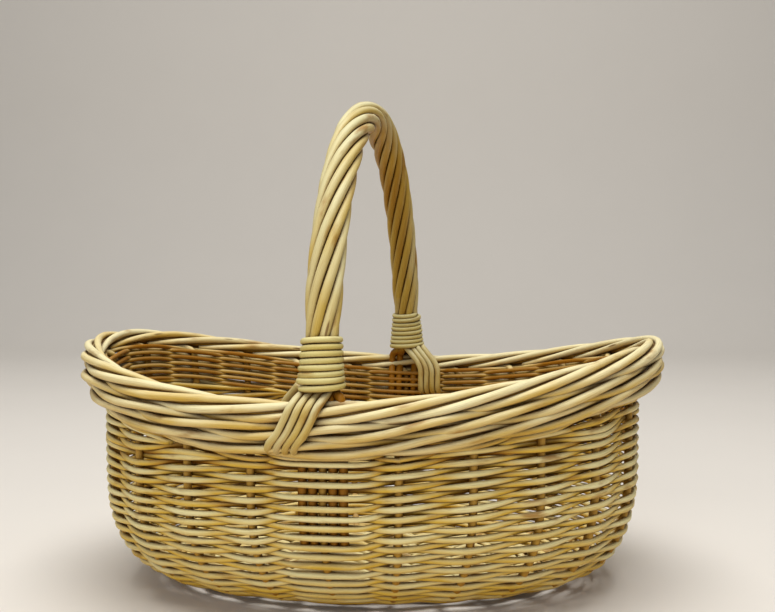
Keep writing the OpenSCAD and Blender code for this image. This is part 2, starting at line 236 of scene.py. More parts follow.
@dataclass(frozen=True)
class Wall:
    """The oval wall in which the stakes stand. A level is 0 at the base's edge and 1 above the round."""

    sizes: Sizes
    entry_turn: float = math.radians(-135)
    arc_steps: int = 720
    first_place: float = 0.5
    front_foot: int = -1
    level_step: float = 0.01
    lean_share: float = 0.4
    wale_fits: int = 6
    side_fullness: float = 2.0
    end_fullness: float = 2.55
    climb_steps: int = 240
    climb_top: float = 1.6
    fineness: int = 2

    @cached_property
    def reach(self) -> float:
        """How far the border stands outside the stakes."""
        s = self.sizes
        return s.roll_out + s.roll_r + s.border_d / 2

    @cached_property
    def a(self) -> float:
        """Half length of the line of the stakes."""
        return self.sizes.length / 2 - self.reach

    @cached_property
    def b(self) -> float:
        """Half width of the line of the stakes."""
        return self.sizes.width / 2 - self.reach

    @cached_property
    def base_z(self) -> float:
        """Height of the base sticks' middle."""
        s = self.sizes
        return s.cross_d / 2 + s.fit + s.base_weaver_d / 2 * (1 + math.cos(math.pi / 4))

    @cached_property
    def entry_h(self) -> float:
        """Depth below the rim at which a stake enters the border."""
        return self.sizes.roll_h - self.sizes.roll_r * math.sin(self.entry_turn)

    @cached_property
    def entry_out(self) -> float:
        """How far a stake has leaned out when it enters the border."""
        return self.sizes.roll_out + self.sizes.roll_r * math.cos(self.entry_turn)

    @cached_property
    def wale_step(self) -> float:
        """Height between the rods of a wale."""
        return self.sizes.wale_d + self.wale_fits * self.sizes.fit

    @cached_property
    def upper_wale_h(self) -> float:
        """Depth of the upper wale below the rim."""
        return self.entry_h + self.sizes.wale_d + self.wale_step / 2

    @cached_property
    def lower_wale_h(self) -> float:
        """Depth of the lower wale below the rim."""
        return self.upper_wale_h + 2 * self.wale_step

    @cached_property
    def lean_h(self) -> float:
        """Depth below the rim at which the stakes start to lean out."""
        return self.lower_wale_h + self.wale_step + self.sizes.stake_d / 2

    @cached_property
    def arcs(self) -> tuple[Array, Array]:
        """Arc length from the middle of the front, and the oval's angle there.

        Returns:
            Both, at even steps of the angle.
        """
        t = np.linspace(-QUARTER, 3 * QUARTER, self.arc_steps + 1)
        points = np.stack([self.a * np.cos(t), self.b * np.sin(t)], axis=1)
        return chord_keys(points), t

    @cached_property
    def space(self) -> float:
        """Distance between stakes round the oval."""
        return self.arcs[0][-1] / self.sizes.stakes

    @cached_property
    def group_half(self) -> float:
        """Half width of the liners at a handle foot."""
        s = self.sizes
        return (s.rope_d + s.fit) * s.rope_rods / 2 + s.rope_d / 2

    @cached_property
    def foot_half(self) -> float:
        """The same with a weaver's clearance, in stake spaces."""
        return (self.group_half + self.sizes.low_weaver_d / 2 + self.sizes.fit) / self.space

    @cached_property
    def bilge_arc(self) -> float:
        """Length of the wall's round, across the sides."""
        return QUARTER * self.sizes.side_round

    def arc(self, place: Array | float) -> Array | float:
        """Arc length at a place counted in stakes."""
        return self.space * (place + self.first_place)

    def angle_at(self, arc: Array) -> Array:
        """Oval angle at an arc length, which may go round more than once.

        Args:
            arc: Arc lengths from the middle of the front.

        Returns:
            An angle for each.
        """
        keys, t = self.arcs
        turns = np.floor(arc / keys[-1])
        return np.interp(arc - turns * keys[-1], keys, t) + FULL_TURN * turns

    def angle(self, place: Array | float) -> Array:
        """Oval angle at a place counted in stakes."""
        return self.angle_at(self.arc(np.asarray(place, float)))

    def oval(self, t: Array) -> Array:
        """Points of the stake line, on the floor."""
        return np.stack([self.a * np.cos(t), self.b * np.sin(t), 0 * t], axis=-1)

    def outward(self, t: Array) -> Array:
        """Level direction away from the wall."""
        return unit(np.stack([np.cos(t) / self.a, np.sin(t) / self.b, 0 * t], axis=-1))

    def rim(self, t: Array) -> Array:
        """Height of the border's top."""
        return self.sizes.side_h + self.sizes.end_rise * np.cos(t + self.sizes.rim_turn) ** 2

    def rim_at(self, place: float) -> float:
        """Height of the border's top at a place counted in stakes."""
        return float(self.rim(self.angle(place)))

    def height(self, level: Array) -> Array:
        """Height of a level."""
        low = 1 - np.cos(QUARTER * np.minimum(level, 1))
        return self.base_z + self.sizes.bilge_h * np.where(level < 1, low, 1 + QUARTER * (level - 1))

    def level(self, z: Array | float) -> Array:
        """Level at a height.

        Args:
            z: Heights.

        Returns:
            A level for each.
        """
        share = (np.asarray(z, float) - self.base_z) / self.sizes.bilge_h
        low = np.arccos(np.clip(1 - share, -1, 1)) / QUARTER
        return np.where(share < 1, low, 1 + (share - 1) * 2 / math.pi)

    def upright(self, t: Array, level: Array) -> Array:
        """Points of the wall without its lean, which is rounded more fully at the ends.

        Args:
            t: Oval angles.
            level: Level at each.

        Returns:
            The points.
        """
        s = self.sizes
        full = self.side_fullness + (self.end_fullness - self.side_fullness) * np.cos(t) ** 2
        drawn = 1 - (1 - np.cos(QUARTER * np.minimum(level, 1)) ** full) ** (1 / full)
        x = (self.a - s.end_round * drawn) * np.cos(t)
        y = (self.b - s.side_round * drawn) * np.sin(t)
        return np.stack([x, y, self.height(level)], axis=-1)

    @lru_cache(maxsize=None)
    def climb(self, j: int) -> tuple[Array, Array]:
        """Distance up stake j from the base's edge, and the level there."""
        levels = np.linspace(0, self.climb_top, self.climb_steps)
        return chord_keys(self.upright(np.full_like(levels, float(self.angle(j))), levels)), levels

    def level_up(self, j: int, way: float) -> float:
        """Level at a distance up stake j."""
        return float(np.interp(way, *self.climb(j)))

    def way_up(self, j: int, level: float) -> float:
        """Distance up stake j at a level."""
        way, levels = self.climb(j)
        return float(np.interp(level, levels, way))

    def lean(self, t: Array, z: Array) -> Array:
        """How far the wall leans out under the border."""
        rise = (self.lean_h - self.rim(t) + z) / (self.lean_h - self.entry_h)
        return self.lean_share * self.entry_out * np.maximum(0, rise)

    def surface(self, t: Array, level: Array) -> Array:
        """Points of the wall."""
        return self.upright(t, level) + self.lean(t, self.height(level))[..., None] * self.outward(t)

    def normal(self, t: Array, level: Array) -> Array:
        """Outward normals of the wall.

        Args:
            t: Oval angles.
            level: Level at each.

        Returns:
            A direction for each.
        """
        below = np.maximum(level - self.level_step, 0)
        up = self.surface(t, level + self.level_step) - self.surface(t, below)
        along = np.stack([-self.a * np.sin(t), self.b * np.cos(t), 0 * t], axis=-1)
        return unit(np.cross(along, up))

    def is_foot(self, j: int) -> bool:
        """True where a handle foot stands at stake j."""
        return (j - self.front_foot) % (self.sizes.stakes // 2) == 0

    def clearance(self, j: int, d: float) -> float:
        """Distance of a weaver's middle from the stake line.

        Args:
            j: The stake.
            d: Diameter of the weaver.

        Returns:
            The distance, which is more where liners stand.
        """
        s = self.sizes
        if not self.is_foot(j):
            return s.fit + (s.stake_d + d) / 2
        bulge = (self.foot_half * self.space) ** 2 / 2 * self.b / self.a ** 2
        return s.fit + (max(s.stake_d, s.rope_d) + d) / 2 + bulge

    def stops(self, j: int, level: float, out: float) -> list[Stop]:
        """Stops of a weaver at stake j.

        Args:
            j: The stake.
            level: Level of the weaver, or its depth below the rim.
            out: Its offset from the wall.

        Returns:
            One stop, or at a handle foot two, either side of the liners.
        """
        half = self.foot_half
        places = (j - half, j + half) if self.is_foot(j) else (j,)
        return [(place, level, out) for place in places]

    def route(self, stops: list[Stop], step: float, below_rim: bool = False) -> Route:
        """A weaver's route over its stops.

        Args:
            stops: Place, level and offset of each stop.
            step: Distance between points.
            below_rim: True if the stops give depths below the rim instead of levels.

        Returns:
            The route.
        """
        rows = np.array(stops, float)
        keys = chord_keys(rows * np.array([self.space, 1.0 if below_rim else self.bilge_arc, 1.0]))
        at = np.linspace(0, keys[-1], int(keys[-1] / step) * self.fineness)
        place, level, out = resting(keys, rows, at).T
        t = self.angle(place)
        if below_rim:
            level = self.level(self.rim(t) - level)
        points = self.surface(t, level) + out[:, None] * self.normal(t, level)
        path, gone = respaced(points, step), chord_keys(points)
        at = np.linspace(0, gone[-1], len(path))
        return Route(path, np.interp(at, gone, place), np.interp(at, gone, out))


# Finishes


class ShaderTree:
    """Short way of writing a material's shader nodes."""

    # Share and colours of the mix node, by number because their names repeat
    MIX_INPUTS = (0, 6, 7)
    MIX_OUTPUT = 2

    def __init__(self, name: str) -> None:
        """Starts a material with an empty tree.

        Args:
            name: Name of the material.
        """
        self.material = bpy.data.materials.new(name)
        self.material.use_nodes = True
        self.tree = self.material.node_tree
        self.tree.nodes.clear()

    def feed(self, socket: Socket, value: object) -> None:
        """Feeds an input.

        Args:
            socket: The input.
            value: An output to link to it, or its value. A colour has three parts.
        """
        if isinstance(value, Socket):
            self.tree.links.new(value, socket)
        else:
            socket.default_value = (*value, 1.0) if socket.type == "RGBA" else value

    def add(self, kind: str, inputs: dict | None = None, **settings: object) -> bpy.types.Node:
        """Adds a node.

        Args:
            kind: Node type.
            inputs: Values or sockets for its inputs, by name or number.
            settings: Properties of the node.

        Returns:
            The node.
        """
        node = self.tree.nodes.new(kind)
        for key, value in settings.items():
            setattr(node, key, value)
        for key, value in (inputs or {}).items():
            self.feed(node.inputs[key], value)
        return node

    def attribute(self, name: str, output: str = "Fac") -> Socket:
        """A value stored on the points of the mesh."""
        return self.add("ShaderNodeAttribute", attribute_name=name).outputs[output]

    def maths(self, operation: str, *values: object) -> Socket:
        """One sum, clamped to between 0 and 1."""
        node = self.add("ShaderNodeMath", dict(enumerate(values)), operation=operation, use_clamp=True)
        return node.outputs[0]

    def times(self, value: object, share: object) -> Socket:
        """A product, clamped to between 0 and 1."""
        return self.maths("MULTIPLY", value, share)

    def mix(self, share: object, low: object, high: object) -> Socket:
        """Mixes two colours."""
        inputs = dict(zip(self.MIX_INPUTS, (share, low, high)))
        return self.add("ShaderNodeMix", inputs, data_type="RGBA").outputs[self.MIX_OUTPUT]

    def stretched(self, place: Socket, scale: Stop) -> Socket:
        """A place scaled across and along the rod."""
        return self.add("ShaderNodeVectorMath", {0: place, 1: scale}, operation="MULTIPLY").outputs[0]

    def noise(self, place: Socket, scale: Stop, detail: float = 3.0) -> Socket:
        """Noise at that scale."""
        inputs = {"Vector": self.stretched(place, scale), "Scale": 1.0, "Detail": detail}
        return self.add("ShaderNodeTexNoise", inputs).outputs["Fac"]

    def step(self, value: Socket, span: Span) -> Socket:
        """A soft step from 0 at the first end of a span to 1 at the other."""
        inputs = {"Value": value, "From Min": span[0], "From Max": span[1]}
        return self.add("ShaderNodeMapRange", inputs, interpolation_type="SMOOTHSTEP").outputs[0]

    def finished(self, inputs: dict) -> bpy.types.Material:
        """Ends the tree with its shader.

        Args:
            inputs: Values or sockets for the shader's inputs, by name.

        Returns:
            The material.
        """
        shader = self.add("ShaderNodeBsdfPrincipled", inputs)
        self.add("ShaderNodeOutputMaterial", {0: shader.outputs[0]})
        return self.material


@dataclass(frozen=True)
class Willow:
    """Finish of peeled and buffed willow, with painted shade in crevices and painted light by facing."""

    name: str
    slot: str
    pale: Colour
    warm: Colour
    deep: Colour
    roughness: float = 0.42
    smoother: float = 0.08
    rougher: float = 0.2
    shine: float = 0.15
    ior: float = 1.5
    blemish: float = 0.75
    scar: Colour = (0.17, 0.075, 0.02)
    # Painted shade: crevices that ambient occlusion finds between rods are mixed towards this shadow
    # colour.
    shadow: Colour = (0.11, 0.036, 0.0)
    crevice: float = 0.008
    crevice_rays: int = 6
    crevice_span: Span = (0.15, 0.85)
    crevice_shade: float = 0.9
    # Painted light and shade: faces turned up are painted paler, faces turned down deeper.
    facing_light: float = 0.5
    lit_top_span: Span = (-0.2, 0.9)
    shaded_under_span: Span = (-0.1, -1.0)
    pith: Colour = (0.30, 0.17, 0.06)
    pith_span: Span = (0.0003, 0.0009)
    end_grain: Colour = (0.70, 0.56, 0.30)
    fibre_scale: Stop = (2600.0, 2600.0, 55.0)
    fibre_detail: float = 4.0
    fibre_span: Span = (0.5, 0.72)
    fibre_share: float = 0.34
    blotch_scale: Stop = (60.0, 60.0, 17.0)
    blotch_span: Span = (0.35, 0.7)
    blotch_share: float = 0.55
    blotch_start: float = -0.1
    stain_scale: Stop = (110.0, 110.0, 30.0)
    stain_detail: float = 5.0
    stain_span: Span = (0.56, 0.74)
    scar_scale: Stop = (190.0, 190.0, 26.0)
    scar_span: Span = (0.1, 0.2)
    scar_pick: Span = (0.72, 0.75)
    scar_share: float = 0.8
    grain_depth: float = 0.00022
    grain_strength: float = 0.5
    fibre_relief: float = 0.6
    scar_relief: float = 0.5

    def toned_with_painted_light(self, w: ShaderTree, place: Socket) -> Socket:
        """Colour of the rod's own shade, with painted light on faces turned up and painted shade on
        faces turned down.

        Args:
            w: The tree.
            place: Place across and along the rod.

        Returns:
            The colour.
        """
        shade = w.attribute("shade")
        normal = w.add("ShaderNodeNewGeometry").outputs["Normal"]
        facing = w.add("ShaderNodeSeparateXYZ", {0: normal}).outputs[2]
        blotch = w.step(w.noise(place, self.blotch_scale), self.blotch_span)
        blotched = w.maths("MULTIPLY_ADD", blotch, self.blotch_share, self.blotch_start)
        # Painted light on faces turned up and painted shade on faces turned down.
        painted_top_light = w.times(w.step(facing, self.lit_top_span), self.facing_light)
        warmth = w.maths("SUBTRACT", w.maths("ADD", shade, blotched), painted_top_light)
        under = w.times(w.step(facing, self.shaded_under_span), self.facing_light)
        depth = w.maths("ADD", w.maths("SUBTRACT", shade, 1.0), under)
        return w.mix(depth, w.mix(warmth, self.pale, self.warm), self.deep)

    def scars(self, w: ShaderTree, place: Socket) -> Socket:
        """Where bud scars lie on the rod.

        Args:
            w: The tree.
            place: Place across and along the rod.

        Returns:
            1 on a scar and 0 elsewhere.
        """
        inputs = {"Vector": w.stretched(place, self.scar_scale), "Scale": 1.0}
        buds = w.add("ShaderNodeTexVoronoi", inputs)
        bud = w.maths("SUBTRACT", 1.0, w.step(buds.outputs["Distance"], self.scar_span))
        draw = w.add("ShaderNodeSeparateColor", {0: buds.outputs["Color"]}).outputs[0]
        return w.times(bud, w.step(draw, self.scar_pick))

    def end(self, w: ShaderTree, place: Socket) -> Socket:
        """Colour of a cut end, with its pith.

        Args:
            w: The tree.
            place: Place across and along the rod.

        Returns:
            The colour.
        """
        flat = w.stretched(place, (1.0, 1.0, 0.0))
        across = w.add("ShaderNodeVectorMath", {0: flat}, operation="LENGTH").outputs[1]
        return w.mix(w.step(across, self.pith_span), self.pith, self.end_grain)

    @lru_cache(maxsize=None)
    def material(self) -> bpy.types.Material:
        """Shader of the finish.

        Returns:
            The material, made once.
        """
        w = ShaderTree(self.name)
        place = w.attribute("rod_place", "Vector")
        fibre = w.noise(place, self.fibre_scale, self.fibre_detail)
        stain = w.noise(place, self.stain_scale, self.stain_detail)
        scars = self.scars(w, place)
        # Painted shade: ambient occlusion finds the crevices, which are mixed towards the shadow colour
        # below.
        nearby = {"Distance": self.crevice}
        open_air = w.add("ShaderNodeAmbientOcclusion", nearby, samples=self.crevice_rays).outputs["AO"]
        hidden = w.maths("SUBTRACT", 1.0, w.step(open_air, self.crevice_span))
        colour = self.toned_with_painted_light(w, place)
        for share, over in (
            (w.times(w.step(stain, self.stain_span), self.blemish), self.deep),
            (w.times(w.step(fibre, self.fibre_span), self.fibre_share), self.deep),
            (w.times(scars, self.scar_share), self.scar),
            (w.times(hidden, self.crevice_shade), self.shadow),
            (w.attribute("cut"), self.end(w, place)),
        ):
            colour = w.mix(share, colour, over)
        least, most = self.roughness - self.smoother, self.roughness + self.rougher
        rough = w.add("ShaderNodeMapRange", {"Value": stain, "To Min": least, "To Max": most}).outputs[0]
        relief = w.maths("ADD", w.times(fibre, self.fibre_relief), w.times(scars, self.scar_relief))
        grain = {"Strength": self.grain_strength, "Distance": self.grain_depth, "Height": relief}
        bump = w.add("ShaderNodeBump", grain).outputs[0]
        return w.finished({"Base Color": colour, "Roughness": rough, "Normal": bump,
                           "Specular IOR Level": self.shine, "IOR": self.ior})


SIDING = Willow(
    "siding_willow", "peeled_willow", (0.93, 0.85, 0.46), (0.75, 0.49, 0.065), (0.32, 0.12, 0.005))
BORDER = Willow(
    "border_willow", "peeled_willow", (0.90, 0.82, 0.50), (0.70, 0.46, 0.085), (0.33, 0.135, 0.007))
ROPE = Willow(
    "handle_willow", "peeled_willow", (0.76, 0.72, 0.44), (0.61, 0.42, 0.082), (0.33, 0.135, 0.007),
    # The handle's crevices take the full painted shade.
    roughness=0.38, crevice_shade=1.0)
BINDING = Willow(
    "binding_willow", "peeled_willow", (0.80, 0.74, 0.38), (0.64, 0.50, 0.13), (0.34, 0.16, 0.02))
STAKE = replace(BORDER, name="stake_willow", slot="stake_willow")
STICK = Willow(
    "stick_willow", "stick_willow", (0.50, 0.34, 0.14), (0.36, 0.22, 0.08), (0.20, 0.10, 0.03),
    roughness=0.55)


# Rods and the pieces they make up

STEEP = 0.9
GRAIN_REACH = 40.0
CUT_SPREAD = (0.6, 1.2)
CHAMFER = 0.8
CROWN = 0.12
SHADE_SPREAD = 0.16


@dataclass
class Rod:
    """One willow rod."""

    path: Array
    width: Array
    shade: Array | float = 0.3
    ends: tuple[End, End] = (End.CUT, End.CUT)
    sides: int = 10
    knuckle: float = 0.05
    knuckle_gap: float = 0.045
    knuckle_half: float = 0.004
    knuckle_spread: Span = (0.2, 0.8)
    unevenness: float = 0.018

    def radii(self, along: Array) -> Array:
        """Radius along the rod, with its taper and the swellings at its buds.

        Args:
            along: Distance of each point from the rod's start.

        Returns:
            A radius for each point.
        """
        count = max(1, int(along[-1] / self.knuckle_gap))
        buds = (np.arange(count) + RNG.uniform(*self.knuckle_spread, count)) / count * along[-1]
        near = np.exp(-(((along[:, None] - buds[None, :]) / self.knuckle_half) ** 2)).max(axis=1)
        marks = np.linspace(0, along[-1], count + 2)
        slow = np.interp(along, marks, RNG.normal(0, self.unevenness, count + 2))
        return self.width / 2 * (1 + self.knuckle * near + slow)


@dataclass
class Swept:
    """Arrays of one swept rod."""

    points: Array
    place: Array
    shade: Array
    cut: Array
    quads: Array
    caps: Array


def turned_frames(path: Array) -> tuple[Array, Array, Array]:
    """Directions along and across a route, without twist.

    Args:
        path: Points of the route.

    Returns:
        Tangents and two directions across, one row each for every point.
    """
    tangent = unit(np.gradient(path, axis=0))
    side = np.cross(tangent[0], UPWARD if abs(tangent[0][2]) < STEEP else SIDEWAYS)
    across = [side / np.linalg.norm(side)]
    for t in tangent[1:]:
        kept = across[-1] - t * np.dot(across[-1], t)
        across.append(kept / np.linalg.norm(kept))
    across = np.array(across)
    return tangent, across, np.cross(tangent, across)


def swept(rod: Rod) -> Swept:
    """Sweeps a rod into rings, with a slanted and chamfered cut at both ends.

    Args:
        rod: The rod.

    Returns:
        Its points, faces and shader values.
    """
    tangent, across, upward = turned_frames(rod.path)
    along = chord_keys(rod.path)
    n, m = len(rod.path), rod.sides
    turn = FULL_TURN * np.arange(m) / m
    r = rod.radii(along)
    cosines, sines = np.cos(turn)[None, :, None], np.sin(turn)[None, :, None]
    spokes = cosines * across[:, None, :] + sines * upward[:, None, :]
    points = [(rod.path[:, None, :] + r[:, None, None] * spokes).reshape(-1, 3)]
    rings = points[0].reshape(n, m, 3)
    disc = np.stack([np.cos(turn), np.sin(turn), 0 * turn], axis=1)
    place = r[:, None, None] * disc[None, :, :]
    place[:, :, 2] = along[:, None] + RNG.uniform(0, GRAIN_REACH)
    tones = np.broadcast_to(rod.shade, n)
    places, shade, cut = [place.reshape(-1, 3)], [np.repeat(tones, m)], [np.zeros(n * m)]
    k = np.arange(m)
    after = (k + 1) % m
    ring = np.arange(n - 1)[:, None] * m
    quads = [np.stack([ring + k, ring + after, ring + m + after, ring + m + k], axis=-1).reshape(-1, 4)]
    fans = []
    for last, sign, end in ((0, -1, rod.ends[0]), (n - 1, 1, rod.ends[1])):
        slope = end.value * RNG.uniform(*CUT_SPREAD)
        lead = RNG.uniform(0, FULL_TURN)
        rings[last] += slope * r[last] * np.cos(turn - lead)[:, None] * tangent[last][None, :]
        crown = sign * CROWN * r[last] * tangent[last]
        inner = rod.path[last] + (rings[last] - rod.path[last]) * CHAMFER + crown
        start = sum(len(p) for p in points)
        points += [inner, (rod.path[last] + crown)[None, :]]
        places += [r[last] * CHAMFER * disc, np.zeros((1, 3))]
        shade.append(np.full(m + 1, tones[last]))
        cut.append(np.ones(m + 1))
        edge = np.stack([last * m + k, last * m + after, start + after, start + k], axis=1)
        fan = np.stack([start + k, start + after, np.full(m, start + m)], axis=1)
        quads.append(edge[:, ::sign])
        fans.append(fan[:, ::sign])
    return Swept(np.vstack(points), np.vstack(places), np.concatenate(shade), np.concatenate(cut),
                 np.vstack(quads), np.vstack(fans))


@dataclass
class Piece:
    """Rods that stand for one node of the frame, made into one mesh."""

    node: str
    finish: Willow
    rods: list[Rod]

    def shape(self, parts: list[Swept]) -> bpy.types.Mesh:
        """Makes the mesh, smooth round the rods and flat on their cut ends.

        Args:
            parts: The swept rods.

        Returns:
            The mesh.
        """
        starts = np.concatenate([[0], np.cumsum([len(p.points) for p in parts])])
        quads = np.vstack([p.quads + s for p, s in zip(parts, starts)])
        caps = np.vstack([p.caps + s for p, s in zip(parts, starts)])
        mesh = bpy.data.meshes.new("willow_" + self.node)
        points = np.vstack([p.points for p in parts])
        mesh.from_pydata(points.tolist(), [], quads.tolist() + caps.tolist())
        smooth = np.concatenate([np.ones(len(quads), bool), np.zeros(len(caps), bool)])
        mesh.polygons.foreach_set("use_smooth", smooth)
        return mesh

    def dress(self, mesh: bpy.types.Mesh, parts: list[Swept]) -> None:
        """Gives the mesh its finish and the values that the finish reads.

        Args:
            mesh: The mesh.
            parts: The swept rods.
        """
        for name, kind, value, rows in (
            ("rod_place", "FLOAT_VECTOR", "vector", [p.place for p in parts]),
            ("shade", "FLOAT", "value", [p.shade for p in parts]),
            ("cut", "FLOAT", "value", [p.cut for p in parts]),
        ):
            layer = mesh.attributes.new(name, kind, "POINT")
            layer.data.foreach_set(value, np.asarray(np.concatenate(rows), np.float32).ravel())
        mesh.materials.append(self.finish.material())
        mesh.update()

    def build(self) -> None:
        """Makes the piece and lets it ride on the body."""
        parts = [swept(rod) for rod in self.rods]
        mesh = self.shape(parts)
        self.dress(mesh, parts)
        piece = bpy.data.objects.new("willow_" + self.node, mesh)
        bpy.context.scene.collection.objects.link(piece)
        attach(piece, BODY)
        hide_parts(self.node)
        LOG.info("%s: %d rods, %d faces", piece.name, len(self.rods), len(mesh.polygons))


def taper(path: Array, butt_d: float, tip_d: float) -> Array:
    """Diameters that fall evenly from butt to tip."""
    return np.linspace(butt_d, tip_d, len(path))


def shade_near(mean: float, spread: float = SHADE_SPREAD) -> float:
    """A rod's own shade: pale at 0, warm at 1, deep at 2."""
    return float(np.clip(RNG.normal(mean, spread), 0.0, 1.0))


# Sub-assemblies


@dataclass
class Base:
    """Sticks of the base and the rods woven through them."""

    wall: Wall
    step: float = 0.005
    stick_shade: float = 0.5
    stick_tip: float = 0.92
    stick_sides: int = 14
    stick_knuckle: float = 0.03
    stick_knuckle_gap: float = 0.06
    weaver_d: float = 0.0047
    weaver_shade: float = 0.55
    rise: float = 0.0053
    ring_insets: tuple[float, ...] = (0.0038, 0.0083, 0.0128)
    ring_tip: float = 0.92
    ring_points: int = 500
    pair_gap: float = 2.0
    fill_step: float = 0.0050
    fill_tip: float = 0.9
    fill_points: int = 160
    end_share: float = 0.5

    @cached_property
    def a(self) -> float:
        """Half length of the base."""
        return self.wall.a - self.wall.sizes.end_round

    @cached_property
    def b(self) -> float:
        """Half width of the base."""
        return self.wall.b - self.wall.sizes.side_round

    @cached_property
    def cross_places(self) -> list[float]:
        """Places of the cross sticks along the base."""
        half = [math.cos(float(self.wall.angle(i))) for i in range(self.wall.sizes.right_tip - 1)]
        return sorted(side * self.a * share for share in half for side in (1, -1))

    @cached_property
    def long_places(self) -> list[float]:
        """Places of the long sticks across the base."""
        y = self.b * math.sin(float(self.wall.angle(self.wall.sizes.right_tip + 1)))
        return [-y, 0.0, y]

    def stick(self, start: Stop, end: Stop, d: float) -> Rod:
        """One straight stick.

        Args:
            start: Middle of its butt.
            end: Middle of its tip.
            d: Diameter of its butt.

        Returns:
            The stick.
        """
        path = respaced(np.array([start, end]), self.step)
        return Rod(path, taper(path, d, d * self.stick_tip), shade_near(self.stick_shade), SQUARE_ENDS,
                   self.stick_sides, self.stick_knuckle, self.stick_knuckle_gap)

    def sticks(self) -> list[Piece]:
        """Cross sticks, and the long sticks that go through them.

        Returns:
            A piece of each kind.
        """
        s, z = self.wall.sizes, self.wall.base_z
        short = s.stake_d / 2 + s.fit
        cross, long = [], []
        for x in self.cross_places:
            half = self.b * math.sqrt(1 - (x / self.a) ** 2) - short
            cross.append(self.stick((x, -half, z), (x, half, z), s.cross_d))
        for y in self.long_places:
            half = self.a * math.sqrt(1 - (y / self.b) ** 2) - short
            long.append(self.stick((-half, y, z), (half, y, z), s.long_d))
        return [Piece("base_cross_sticks", STICK, cross), Piece("base_long_sticks", STICK, long)]

    def woven(self, points: Array, tip: float) -> Rod:
        """A weaver of the base.

        Args:
            points: Points of its route.
            tip: Share of its diameter that is left at its tip.

        Returns:
            The weaver.
        """
        path = respaced(points, self.step)
        return Rod(path, taper(path, self.weaver_d, self.weaver_d * tip), shade_near(self.weaver_shade))

    def ring(self, inset: float, first_side: float) -> Rod:
        """A row that goes round over some sticks and under the next.

        Args:
            inset: Distance of the row inside the base's edge.
            first_side: 1 if it starts over the sticks, -1 if under.

        Returns:
            The row's rod.
        """
        a, b = self.a - inset, self.b - inset
        marks = [math.acos(x / a) * turn % FULL_TURN for x in self.cross_places for turn in (1, -1)]
        for y in self.long_places:
            t = math.asin(y / b)
            marks += [t % FULL_TURN, math.pi - t]
        keys, heights, side = [], [], first_side
        for t in sorted(marks):
            places = [(a * math.cos(u), b * math.sin(u)) for u in (t, *keys[-1:])]
            if keys and math.dist(*places) >= self.pair_gap * self.wall.sizes.cross_d:
                side = -side
            keys.append(t)
            heights.append(self.wall.base_z + side * self.rise)
        keys.append(keys[0] + FULL_TURN - self.weaver_d / b)
        heights.append(heights[0])
        at = np.linspace(keys[0], keys[-1], self.ring_points)
        z = resting(np.array(keys), np.array(heights)[:, None], at)[:, 0]
        return self.woven(np.stack([a * np.cos(at), b * np.sin(at), z], axis=1), self.ring_tip)

    def edge(self) -> Piece:
        """The rows that go round the ends of all the sticks."""
        rows = [self.ring(inset, (-1.0) ** (i + 1)) for i, inset in enumerate(self.ring_insets)]
        return Piece("base_weave_edge", SIDING, rows)

    def filling(self) -> Piece:
        """Rods along the base, over one cross stick and under the next, between the long sticks.

        Returns:
            The piece.
        """
        s = self.wall.sizes
        inset = self.ring_insets[-1] + self.weaver_d / 2
        a, b = self.a - inset, self.b - inset
        clear = (s.long_d + self.weaver_d) / 2
        outer = self.long_places[-1]
        half = []
        for low, high in ((clear, outer - clear), (outer + clear, b - self.weaver_d)):
            half += list(np.linspace(low, high, round((high - low) / self.fill_step) + 1))
        rods = []
        for i, y in enumerate([-y for y in reversed(half)] + half):
            reach = a * math.sqrt(1 - (y / b) ** 2)
            xs = [x for x in self.cross_places if abs(x) < reach - s.cross_d / 2]
            sides = [-1.0 if (i + k) % 2 == 0 else 1.0 for k in range(len(xs))]
            keys = np.array([-reach, *xs, reach])
            rows = np.array([-sides[0] * self.end_share, *sides, -sides[-1] * self.end_share])[:, None]
            at = np.linspace(keys[0], keys[-1], self.fill_points)
            z = self.wall.base_z + self.rise * resting(keys, rows, at)[:, 0]
            rods.append(self.woven(np.stack([at, np.full_like(at, y), z], axis=1), self.fill_tip))
        return Piece("base_weave_filling", SIDING, rods)

    def build(self) -> None:
        """Builds the base."""
        for piece in [*self.sticks(), self.edge(), self.filling()]:
            piece.build()


